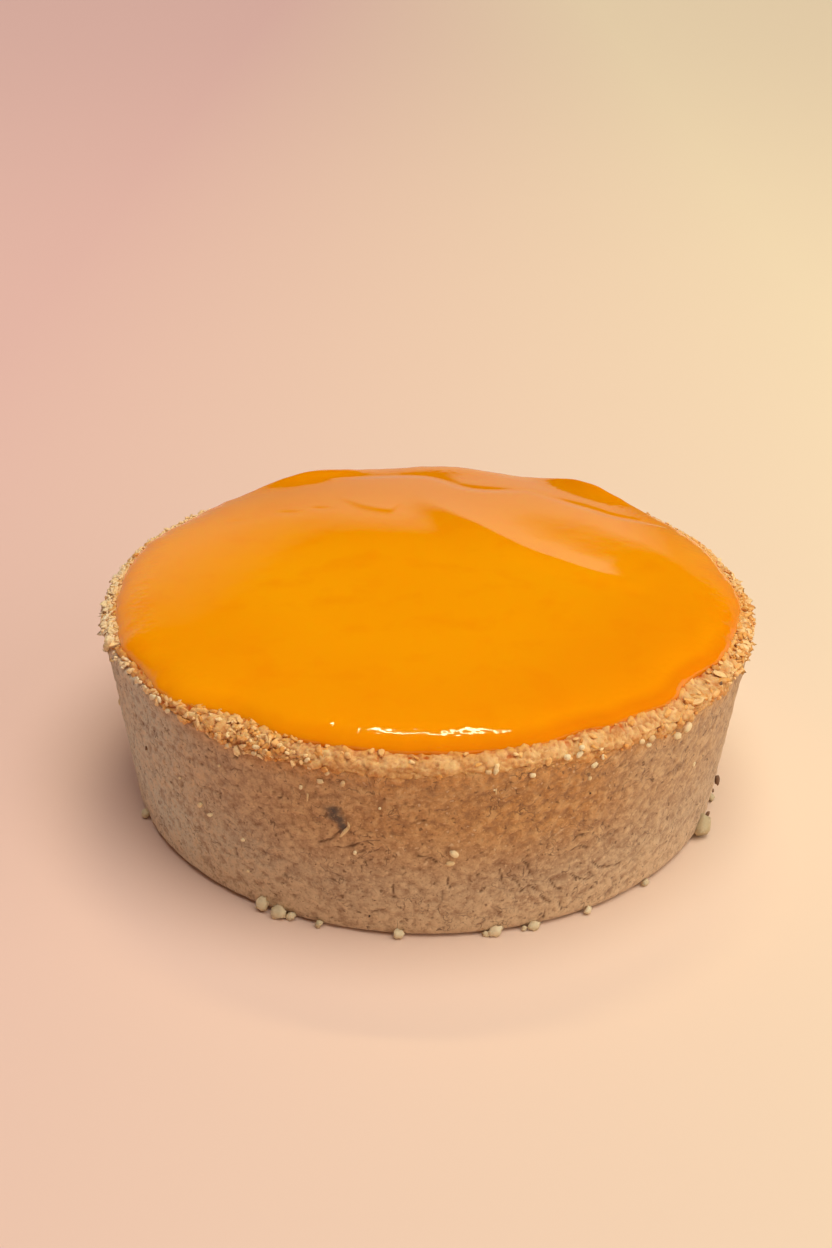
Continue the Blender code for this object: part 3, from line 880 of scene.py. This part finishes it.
# %% Crumb shapes
CRUMB_SEED = 23
CRUMB_CUTS = 2


def crumb_shape(half_sizes, roundness, bend, dents, seed):
    """One crumb as a mesh, long in X and thin in Z, its middle at the origin."""
    bm = bmesh.new()
    bmesh.ops.create_cube(bm, size=2.0)
    bmesh.ops.subdivide_edges(bm, edges=bm.edges[:], cuts=CRUMB_CUTS, use_grid_fill=True)
    for vertex in bm.verts:
        vertex.co = vertex.co.lerp(vertex.co.normalized() * 1.1, roundness)
        vertex.co *= 1 + dents * noise.noise(vertex.co * 1.3 + Vector((seed, 3 * seed, 0)))
    bmesh.ops.scale(bm, vec=half_sizes, verts=bm.verts)
    for vertex in bm.verts:
        vertex.co.z += bend * half_sizes[0] * (vertex.co.x / half_sizes[0]) ** 2
    return new_mesh("crumb_shape", bm)


def crumb_shapes(count, half_sizes, spread, roundness, bend, dents=0.55):
    """Some shapes of one kind, each with its own sizes in mm, dents and bend."""
    rng = random.Random(CRUMB_SEED + count)
    shapes = []
    for i in range(count):
        sizes = [s * MM * rng.uniform(1 - spread, 1 + spread) for s in half_sizes]
        bends = rng.uniform(-bend, bend)
        shapes.append(crumb_shape(sizes, rng.uniform(*roundness), bends, dents, 1.7 * i))
    return shapes


flake_shapes = crumb_shapes(14, (0.66, 0.34, 0.23), 0.3, (0.85, 1.0), 0.20)
plate_shapes = crumb_shapes(10, (0.85, 0.50, 0.13), 0.25, (0.75, 0.95), 0.15)
chip_shapes = crumb_shapes(12, (0.39, 0.28, 0.23), 0.3, (0.85, 1.0), 0.10)
splinter_shapes = crumb_shapes(3, (0.85, 0.20, 0.14), 0.1, (0.8, 1.0), 0.30)
grain_shapes = crumb_shapes(8, (0.50, 0.38, 0.32), 0.12, (0.95, 1.0), 0.05, 0.2)
bran_shapes = crumb_shapes(9, (0.48, 0.42, 0.36), 0.15, (0.85, 1.0), 0.05, 0.6)
print(len(flake_shapes), "flakes,", len(chip_shapes), "chips and", len(grain_shapes), "grains to copy")

# %% Scattering helpers
def rim_spot(angle, share):
    """Point and outward normal at this share of the way from the gel's edge over the rim to the fringe."""
    edge, low = float(gel_edge(angle)), float(fringe(angle))
    lean = MM * float(round_the_tart(angle, CROWD, 2))
    dip = float(rim_dip(angle))
    path = [
        Vector((edge - lean, SIDE_HEIGHT + 1.75 * MM + 0.35 * lean - dip)),
        Vector((0.5 * edge + 0.5 * RIM_RADIUS, SIDE_HEIGHT + 1.6 * MM - dip)),
        Vector((RIM_RADIUS + 0.05 * MM, SIDE_HEIGHT + 0.8 * MM - dip)),
        Vector((side_radius(low) + 0.1 * MM, low - 0.5 * dip)),
    ]
    left = share * sum((b - a).length for a, b in zip(path, path[1:]))
    for a, b in zip(path, path[1:]):
        length = (b - a).length
        if left <= length or b is path[-1]:
            break
        left -= length
    point = a.lerp(b, min(1.0, left / length))
    flat = (b - a).normalized()
    around = Vector((math.cos(angle), math.sin(angle), 0))
    normal = (around * -flat.y + Vector((0, 0, flat.x))).normalized()
    return around * point.x + Vector((0, 0, point.y)), normal


def side_spot(degrees, height):
    """Point and outward normal on the smooth side, from degrees and a height in millimetres."""
    around = Vector((math.cos(math.radians(degrees)), math.sin(math.radians(degrees)), 0))
    return around * side_radius(height * MM) + Vector((0, 0, height * MM)), around


def lay(point, normal, yaw, tips, scale):
    """The matrix that lays a crumb on a surface: thin way along the normal, turned by yaw, then tipped."""
    along = Vector((-point.y, point.x, 0)).normalized()
    across = normal.cross(along).normalized()
    frame_there = Matrix((along, across, normal)).transposed().to_4x4()
    turn = Matrix.Rotation(yaw, 4, "Z") @ Matrix.Rotation(tips[0], 4, "X") @ Matrix.Rotation(tips[1], 4, "Y")
    return Matrix.Translation(point) @ frame_there @ turn @ Matrix.Scale(scale, 4)


def joined(name, laid):
    """One object from (shape, matrix, tint, stain) rows, with each copy's tint and stain on its points."""
    bm = bmesh.new()
    tints, stains = [], []
    for shape, place, tint, stain in laid:
        copy = shape.copy()
        copy.transform(place)
        bm.from_mesh(copy)
        bpy.data.meshes.remove(copy)
        tints += [tint] * len(shape.vertices)
        stains += [stain] * len(shape.vertices)
    piece = add_object(name, new_mesh(name, bm))
    store(piece.data, tint=tints, stain=stains)
    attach(piece, "root")
    return piece


# %% [markdown]
# ## Where the loose crumbs lie
# Flakes lie mostly flat and half sunk, chips fill in between them, and both gather in drifts, with
# the rim almost bare between. On both flanks, and on a short stretch in front of the right one,
# flat flakes stick straight out in layers. Crumbs near the gel have soaked up its juice, and each
# keeps a tint, so that no two neighbours match.

# %% Rim crumbs
FLAKE_COUNT = 1100
CHIP_COUNT = 900
SHELVES = ((176, 203, 80), (334, 366, 110), (318, 332, 14))  # from and to in degrees, flakes
SHELF_RADII = (43.4, 44.7)  # in mm, from and to, as are the heights
SHELF_HEIGHTS = (26.0, 27.9)
JUICE_REACH = 0.7 * MM  # from the gel's edge


def juice(point, angle):
    """How much gel a crumb has soaked up, from 0 to 1, by its distance from the gel's edge."""
    away = math.hypot(point.x, point.y) - float(gel_edge(angle))
    return math.exp(-max(0.0, away) / JUICE_REACH)


def ashen(angle):
    """How ashen the crumb is at this angle, from 0 to 1: partly a paler tone, partly painted sheen on the
    left flank.
    """
    return max(0.0, 2 * float(round_the_tart(angle, WARM, 2)) - 1)


def tipped(rng, spread):
    """How far a crumb leans, about both level ways."""
    return rng.gauss(0, spread), rng.gauss(0, spread)


def rim_crumbs(count, shapes, sunk, tip, scales, rng):
    laid = []
    while len(laid) < count:
        angle, share = rng.uniform(0, math.tau), rng.random() ** 1.35
        point, normal = rim_spot(angle, share)
        drift = 0.62 + 0.6 * noise.noise(point * 190)
        if rng.random() > drift * float(round_the_tart(angle, CROWD, 1)):
            continue
        point = point + normal * rng.uniform(*sunk) * MM
        place = lay(point, normal, rng.gauss(0, 0.8), tipped(rng, tip), rng.uniform(*scales))
        laid.append((rng.choice(shapes), place, rng.random() + ashen(angle), juice(point, angle)))
    return laid


def shelf_flakes(rng):
    """Flat flakes that stick out of the rim's flanks, one over the other."""
    laid = []
    for start, end, count in SHELVES:
        for _ in range(count):
            angle = math.radians(rng.uniform(start, end))
            radius, height = rng.uniform(*SHELF_RADII) * MM, rng.uniform(*SHELF_HEIGHTS) * MM
            point = Vector((radius * math.cos(angle), radius * math.sin(angle), height))
            yaw = math.pi / 2 + rng.gauss(0, 0.5)
            place = lay(point, Vector((0, 0, 1)), yaw, tipped(rng, 0.15), rng.uniform(0.8, 1.25))
            laid.append((rng.choice(plate_shapes), place, rng.random() + ashen(angle), juice(point, angle)))
    return laid


crumb_rng = random.Random(CRUMB_SEED)
flakes = joined(
    "rim_flakes",
    rim_crumbs(FLAKE_COUNT, flake_shapes, (-0.18, 0.12), 0.30, (0.5, 1.02), crumb_rng)
    + shelf_flakes(crumb_rng),
)
chips = joined("rim_chips", rim_crumbs(CHIP_COUNT, chip_shapes, (-0.16, 0.14), 0.7, (0.5, 1.1), crumb_rng))
print(len(flakes.data.polygons), "faces on the flakes,", len(chips.data.polygons), "on the chips")

# %% Crumb material
FLAKE_DEEP = (0.62, 0.225, 0.048, 1)
FLAKE_GOLD = (0.86, 0.415, 0.112, 1)
FLAKE_PALE = (0.96, 0.665, 0.33, 1)
FLAKE_ASHEN = (0.90, 0.72, 0.48, 1)


def crumb_finish(name, deep, gold, pale):
    material, tree, shader = new_material(name)
    tint = stored(tree, "tint")
    speckle = object_noise(tree, 2000, 4, 0.65)
    colour = layered(tree, blend(tree, span(tree, tint, 0.0, 0.4), deep, gold), (
        (tint, 0.35, 0.9, 1.0, pale),
        # crumbs on the left flank paler: partly their tone, partly painted sheen
        (tint, 1.0, 1.8, 0.9, FLAKE_ASHEN),
        (speckle, 0.5, 0.75, 0.5, pale),
        (speckle, 0.45, 0.25, 0.5, deep),
        (stored(tree, "stain"), 0.1, 1.0, 0.6, JUICE_ORANGE),
    ))
    plug(tree, shader, {
        "Base Color": colour, "Roughness": span(tree, speckle, 0.3, 0.7, 0.8, 0.55),
        "Normal": bumps(tree, speckle, 0.9, 0.14 * MM), "Specular IOR Level": 0.3,
        "Subsurface Weight": 0.12, "Subsurface Radius": (1.0, 0.7, 0.5), "Subsurface Scale": 0.4 * MM,
    })
    return material


loose_crumb_finish = crumb_finish("loose_crumb_finish", FLAKE_DEEP, FLAKE_GOLD, FLAKE_PALE)
for piece in (flakes, chips):
    piece.data.materials.append(loose_crumb_finish)
print("loose crumbs finished")

# %% [markdown]
# ## Grains on the side and along the base
# Pale grains as large as a sesame seed are pressed into the side. The plain ones are placed where
# the photographed tart has them, and seeded draws go on round the back. Along the base's edge sit
# a few greenish-yellow grains, and the darkest specks are bits of burnt crumb.

# %% Grains and specks
SIDE_GRAINS = (  # angle in degrees, height and size in mm, turn in degrees from level
    (274.9, 14.1, 1.15, -35), (274.3, 12.6, 0.95, 10), (259.0, 13.5, 0.6, 80), (229.3, 13.5, 0.8, 60),
    (231.5, 12.7, 0.7, 20), (238.5, 11.0, 0.7, 10), (238.5, 5.8, 0.5, 0), (250.7, 22.4, 0.55, 85),
    (257.6, 24.1, 0.8, 70), (238.2, 25.7, 0.8, 20), (243.2, 25.9, 0.85, 30),
    (243.6, 26.9, 0.8, 0), (252.4, 25.8, 0.75, 0), (252.2, 26.8, 0.75, 40), (255.2, 25.3, 0.7, 30),
    (279.5, 26.5, 0.75, 0), (280.6, 26.5, 0.8, 60), (280.6, 23.7, 0.35, 90), (286.4, 25.3, 0.8, 0),
    (291.8, 27.1, 0.95, 0), (293.8, 27.2, 0.9, 40), (294.1, 28.1, 0.8, 0), (298.2, 25.8, 0.7, 70),
    (296.3, 23.0, 0.65, 10), (305.5, 26.2, 0.8, 0), (307.2, 25.2, 0.8, 0), (307.6, 26.1, 0.95, 10),
    (314.0, 24.4, 1.1, -20), (316.4, 24.9, 1.4, 30), (235.6, 21.8, 0.45, 40), (263.2, 20.9, 0.4, 30),
    (224.7, 16.1, 0.45, 10), (322.0, 17.0, 0.6, 60),
)
SIDE_FLAKES = (  # the same for thin flakes
    (296.8, 24.9, 0.9, 15), (202.3, 28.0, 1.3, 70), (216.5, 28.1, 0.9, 60),
    (219.0, 27.9, 0.9, 40), (225.0, 26.6, 0.8, 20), (221.1, 27.3, 1.0, 25), (223.2, 27.7, 0.9, -60),
    (254.0, 23.9, 0.8, 10),
)
SPLINTERS = (  # the same for thin splinters
    (257.7, 16.9, 1.1, 55), (258.2, 17.9, 0.6, 100), (280.9, 23.5, 0.5, 90), (251.7, 21.1, 0.6, 85),
)
BASE_GRAINS = (  # angle in degrees, size in mm, turn in degrees
    (241.0, 1.7, 80), (244.4, 2.1, 10), (246.6, 1.2, 40), (251.9, 1.1, 60), (265.9, 1.5, 75),
    (281.0, 0.8, 0), (282.6, 1.6, 30), (287.8, 0.8, 150), (289.6, 1.4, 5), (300.2, 1.1, 40),
    (314.0, 0.9, 20), (334.3, 3.0, 40),
)
DARK_SPECKS = (  # angle in degrees, height and size in mm, turn in degrees
    (213.7, 16.4, 0.55, -60), (262.0, 6.0, 0.35, 20), (261.0, 3.2, 0.35, 70), (296.9, 20.5, 0.4, 80),
    (325.5, 28.2, 0.6, 10), (341.0, 26.2, 0.6, 0), (187.0, 26.4, 0.7, 0),
)
STANDING_SPECKS = (  # the same for bits that stand well out on the right
    (338.2, 1.7, 1.4, 65), (343.6, 5.0, 1.3, 70), (342.0, 3.9, 0.6, 20),
)
BACK_GRAINS = 60
BACK_BASE_GRAINS = 12
BASE_HEIGHT = 0.5  # millimetres up the side where the base grains touch it
BASE_GAP = 0.02 * MM  # between them and the floor
GEL_SPECK = Vector((18.0, 38.6, 29.1)) * MM  # one speck lies on the gel's far edge
grain_rng = random.Random(CRUMB_SEED + 1)


def pressed_in(rows, shapes, proud, tint):
    """Rows of (degrees, height, size, turn) as copies that stand a little proud of the side."""
    laid = []
    for degrees, height, size, turn in rows:
        point, normal = side_spot(degrees, height)
        point = point + normal * proud * size * MM
        tips = tipped(grain_rng, 0.15)
        shape = grain_rng.choice(shapes)
        laid.append((shape, lay(point, normal, math.radians(turn), tips, size), tint(), 0.0))
    return laid


draw = grain_rng.uniform
back_rows = [(draw(-20, 200), draw(3, 25.5), draw(0.4, 1.0), draw(0, 180)) for _ in range(BACK_GRAINS)]
side_grains = joined(
    "side_grains",
    pressed_in(SIDE_GRAINS + tuple(back_rows), grain_shapes, 0.10, grain_rng.random)
    + pressed_in(SIDE_FLAKES, flake_shapes, 0.12, grain_rng.random)
    + pressed_in(SPLINTERS, splinter_shapes, 0.08, lambda: 0.2),
)
base_rows = [(degrees, BASE_HEIGHT, size, turn) for degrees, size, turn in BASE_GRAINS]
base_rows += [(draw(-20, 210), BASE_HEIGHT, draw(0.9, 1.7), draw(0, 180)) for _ in range(BACK_BASE_GRAINS)]
base_laid = []
for shape, place, tint, stain in pressed_in(base_rows, bran_shapes, 0.22, grain_rng.random):
    lowest = min((place @ vertex.co).z for vertex in shape.vertices)
    base_laid.append((shape, Matrix.Translation((0, 0, BASE_GAP - lowest)) @ place, tint, stain))
base_grains = joined("base_grains", base_laid)
dark_specks = joined(
    "burnt_specks",
    pressed_in(DARK_SPECKS, chip_shapes, 0.02, grain_rng.random)
    + pressed_in(STANDING_SPECKS, chip_shapes, 0.35, lambda: 0.8)
    + [(chip_shapes[0], lay(GEL_SPECK, Vector((0, 0, 1)), 0.2, (0, 0), 0.8), 0.2, 0.0)],
)
FINISHES = (  # piece, name, and its deep, middle and pale colour
    (side_grains, "side_grain_finish", (0.68, 0.43, 0.20, 1), (0.79, 0.56, 0.29, 1), (0.87, 0.69, 0.41, 1)),
    (base_grains, "base_grain_finish", (0.54, 0.42, 0.24, 1), (0.66, 0.52, 0.31, 1), (0.80, 0.65, 0.41, 1)),
    (dark_specks, "burnt_finish", (0.025, 0.016, 0.013, 1), (0.07, 0.04, 0.028, 1), (0.26, 0.14, 0.08, 1)),
)
for piece, *finish in FINISHES:
    piece.data.materials.append(crumb_finish(*finish))
specks = len(DARK_SPECKS) + len(STANDING_SPECKS) + 1
print(len(SIDE_GRAINS) + BACK_GRAINS, "side grains,", len(base_rows), "base grains,", specks, "specks")

# %% [markdown]
# ## The mango gel
# The gel was poured warm and set with a skin: flat in the middle, and curved down to a rounded edge.
# Swells and a long fold are left near the back. The mesh is turned from the solid's profile with
# rings that crowd towards the edge, because that is where the surface curves and mirrors the light.

# %% Gel profile
GEL_SECTORS = 780
GEL_RINGS = 100
GEL_LIP = 0.7 * MM
GAP = 0.3 * MM


def gel_top(radius):
    """Height of the gel's top at this radius, before its swells and folds."""
    share = min(1.0, radius / GEL_EDGE_RADIUS)
    return GEL_EDGE_HEIGHT + GEL_RISE * math.sqrt(1 - share**GEL_ROUNDNESS)


def gel_stretches():
    """From the middle of the underside, up the plug, round the lip and in over the top."""
    plug_base = BASE_RADIUS - WALL_THICKNESS - GAP
    plug_top = RIM_RADIUS - WALL_THICKNESS - GAP
    edge = GEL_EDGE_RADIUS
    stretches = [
        ((0.0, FLOOR_THICKNESS + GAP), None),
        ((plug_base, FLOOR_THICKNESS + GAP), HIDDEN_SPACING),
        ((plug_top, SIDE_HEIGHT - 2.3 * MM), HIDDEN_SPACING),
        ((plug_top + 0.3 * MM, SIDE_HEIGHT - 0.1 * MM), 1.0 * MM),
        ((edge - GEL_LIP, GEL_EDGE_HEIGHT - GEL_LIP), 0.5 * MM),
        ((edge - 0.25 * MM, GEL_EDGE_HEIGHT - 0.5 * MM), 0.25 * MM),
        ((edge, GEL_EDGE_HEIGHT - 0.25 * MM), 0.25 * MM),
        ((edge, GEL_EDGE_HEIGHT), 0.2 * MM),
    ]
    for step in range(1, GEL_RINGS + 1):
        radius = edge * math.cos(math.pi / 2 * step / GEL_RINGS)
        stretches.append(((max(radius, 0.0) if step < GEL_RINGS else 0.0, gel_top(radius)), 1.0))
    return stretches


gel = turned_piece("mango_gel_fill", gel_stretches(), GEL_SECTORS)
print("gel:", len(gel.data.vertices), "points")

# %% [markdown]
# ## Swells, ridges and creases
# The dome is nearly flat, so its haze shows every degree of slope. A swell is a rounded bump. A
# fold is a line that the skin rises to on one side and falls from on the other, and each side has a
# reach of its own: the long ridge climbs steeply from the front and sinks slowly towards the back,
# which turns that whole slope towards the lit screen. A crease is a fold with a negative height.

# %% Swells and folds
GEL_SWELLS = (  # x, y, turn in degrees, half length, half width, height, all in millimetres
    (-19.8, 38.0, 25, 10.0, 2.9, 1.65),
    (3.0, 43.0, -4, 10.0, 4.5, 0.8),
    (25.3, 35.6, -40, 9.2, 3.0, 2.3),
    (-6.0, 14.0, -30, 14.0, 9.0, 0.2),
    (-21.4, 20.7, 0, 1.6, 0.7, -0.04),
    (-16.5, 22.3, 0, 1.4, 0.6, -0.04),
    (-29.0, 17.6, 5, 1.5, 0.6, -0.03),
    (-14.3, -38.4, 90, 0.45, 0.30, 0.03),
    (-10.1, -39.7, 0, 0.35, 0.30, 0.015),
    (-9.2, -39.4, 0, 0.35, 0.30, 0.015),
    (11.3, -39.1, 0, 0.35, 0.30, 0.015),
    (12.4, -38.9, 0, 0.35, 0.30, 0.02),
)
GEL_FOLDS = (  # points from left to right, height, reach in front, reach behind in mm, how far it tapers
    (((-3, 29), (0.2, 27), (2.5, 23.5), (4.7, 20.2), (6.9, 17), (9.1, 14.1), (11.5, 11), (14.5, 7.6),
      (18, 4.9), (22, 1.7), (26, -1.0), (31, -3.4)), 0.44, 3.0, 5.0, 0.25),
    (((-27, 31), (-22, 35), (-14, 37.2), (-5, 37.9), (0, 37.5), (3, 35), (5.5, 32.3), (9, 31.3), (17, 31.9)),
     -0.16, 1.1, 0.9, 0.0),
    (((15, 32.3), (20.4, 27.8), (24.8, 25.0), (28, 22.3), (32, 21.3), (37.6, 20)), -0.16, 1.0, 0.9, 0.0),
    (((-14.3, 27.4), (-12.2, 26.4), (-10.6, 24.4), (-8.2, 22.9), (-5, 22.0)), 0.06, 1.1, 3.2, 0.0),
)
FOLD_STARTS, FOLD_ENDS = 0.40, 0.18  # parts of its length over which a fold rises and sinks away
CREST = 0.5  # millimetres over which a fold's crest is rounded towards the back


def swells(x, y):
    """Height in millimetres that the swells add at (x, y), in millimetres."""
    total = np.zeros_like(x)
    for at_x, at_y, degrees, half_length, half_width, height in GEL_SWELLS:
        turn = math.radians(degrees)
        along = (x - at_x) * math.cos(turn) + (y - at_y) * math.sin(turn)
        across = (y - at_y) * math.cos(turn) - (x - at_x) * math.sin(turn)
        total += height * np.exp(-((along / half_length) ** 2) - (across / half_width) ** 2)
    return total


def rounded(line, times=2):
    """The line with its corners cut off, so that it bends smoothly."""
    for _ in range(times):
        points = [np.array(p, float) for p in line]
        cuts = [p for a, b in zip(points, points[1:]) for p in (0.75 * a + 0.25 * b, 0.25 * a + 0.75 * b)]
        line = [points[0], *cuts, points[-1]]
    return line


def place_on_line(line, x, y):
    """Distance behind the line, in front as negative, and the share of the way along it."""
    behind = np.full_like(x, 1e6)
    along = np.zeros_like(x)
    for i, ((ax, ay), (bx, by)) in enumerate(zip(line, line[1:])):
        step_x, step_y = bx - ax, by - ay
        share = np.clip(((x - ax) * step_x + (y - ay) * step_y) / (step_x**2 + step_y**2), 0, 1)
        away_x, away_y = x - ax - share * step_x, y - ay - share * step_y
        side = np.where(step_x * away_y - step_y * away_x > 0, 1.0, -1.0)
        distance = np.hypot(away_x, away_y)
        nearer = distance < abs(behind)
        behind = np.where(nearer, side * distance, behind)
        along = np.where(nearer, (i + share) / (len(line) - 1), along)
    return behind, along


def folds(x, y):
    """Height in millimetres that the folds add at (x, y), in millimetres."""
    total = np.zeros_like(x)
    for line, height, front_reach, back_reach, taper in GEL_FOLDS:
        behind, along = place_on_line(rounded(line), x, y)
        fade = smooth_step(along / FOLD_STARTS) * smooth_step((1 - along) / FOLD_ENDS)
        left = 1 - taper * along
        front = np.exp(-((behind / front_reach) ** 2))
        back = np.exp((CREST - np.hypot(behind, CREST)) / (back_reach * left))
        total += fade * height * left * np.where(behind < 0, front, back)
    return total


rest, _, angles, radii, heights = surface(gel)
share = radii / GEL_EDGE_RADIUS
at_top = heights > SIDE_HEIGHT + 0.2 * MM
on_top = at_top & (heights > np.array([gel_top(r) for r in radii]) - 0.02 * MM)
shift = (gel_edge(angles) - GEL_EDGE_RADIUS + rough(rest, (0.22, 380, 31.0))) * at_top
shift *= smooth_step((share - 0.8) / 0.18)
x_mm, y_mm = rest[:, 0] / MM, rest[:, 1] / MM
relief = rise(GEL_EDGE_RADIUS - radii, 0, 1.2) * MM * (swells(x_mm, y_mm) + folds(x_mm, y_mm))
meniscus = smooth_step((share - 0.86) / 0.06)
ripples = meniscus * rough(rest, (0.003, 450, 1.0), (0.010, 1000, 6.0))
moved = rest.copy()
moved[:, 0] += np.cos(angles) * shift
moved[:, 1] += np.sin(angles) * shift
moved[:, 2] += on_top * (relief + ripples)
move_points(gel, moved)
# The gel is deeper towards its edge in front: partly its own deeper colour where it thins over the crumb,
# partly painted shade on the front curve.
edge_depth = 0.35 * smooth_step((share - 0.40) / 0.45) + 0.55 * smooth_step((share - 0.93) / 0.07)
to_front = smooth_step(0.6 - 0.6 * np.sin(angles))
to_right = 1 - 0.38 * np.sin(2 * angles)  # painted shade: deepest in front on the right, palest in front on the left
store(
    gel.data,
    edge=edge_depth * at_top * to_front * to_right,
    meniscus=meniscus,
    # painted shade: the gel darker towards the back
    thick=rise(rest[:, 1], 2, 34),
)
print(f"gel relief from {relief.min() / MM:.2f} to {relief.max() / MM:.2f} mm")

# %% [markdown]
# ## Gel finish
# Mango gel is opaque enough to hide the crust, but light enters it and glows back orange, so the
# shader mixes in scattering below the surface. The wet skin is nearly a mirror, with a haze of
# tiny waves. Wide clouds of it are a little paler, and streaks where it flowed together deeper.

# %% Gel material
GEL_ORANGE = (0.97, 0.335, 0.0010, 1)
GEL_DEEP = (0.94, 0.290, 0.0008, 1)
GEL_LIGHT = (0.98, 0.355, 0.0012, 1)
GEL_EDGE = (0.80, 0.218, 0.0015, 1)
GEL_THICK = (0.78, 0.245, 0.0008, 1)


def gel_finish():
    material, tree, shader = new_material("mango_gel_finish")
    clouds = object_noise(tree, 45, 2)
    streaks = object_noise(tree, 160, 4, 0.5)
    colour = blend(tree, span(tree, clouds, 0.35, 0.65), GEL_ORANGE, GEL_LIGHT)
    colour = layered(tree, colour, (
        (streaks, 0.48, 0.30, 0.6, GEL_DEEP),
        # painted shade, darker towards the back
        (stored(tree, "thick"), 0.0, 1.0, 1.0, GEL_THICK),
        # painted shade on the front curve, partly the gel's own deeper colour at its thin edge
        (stored(tree, "edge"), 0.0, 1.0, 1.0, GEL_EDGE),
    ))
    waves = object_noise(tree, 260, 2, 0.5)
    shivers = calc(tree, "MULTIPLY", object_noise(tree, 1350, 0, 0.5), stored(tree, "meniscus"))
    waves = calc(tree, "ADD", waves, calc(tree, "MULTIPLY", shivers, 2.3))
    plug(tree, shader, {
        "Base Color": colour, "Roughness": span(tree, clouds, 0.3, 0.7, 0.03, 0.06),
        "Normal": bumps(tree, waves, 0.3, 0.04 * MM), "IOR": 1.45,
        "Subsurface Weight": 0.30, "Subsurface Radius": (1.0, 0.4, 0.05), "Subsurface Scale": 2.0 * MM,
    })
    return material


gel.data.materials.append(gel_finish())
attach(gel, "root")
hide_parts("mango_gel")
print("gel finished")
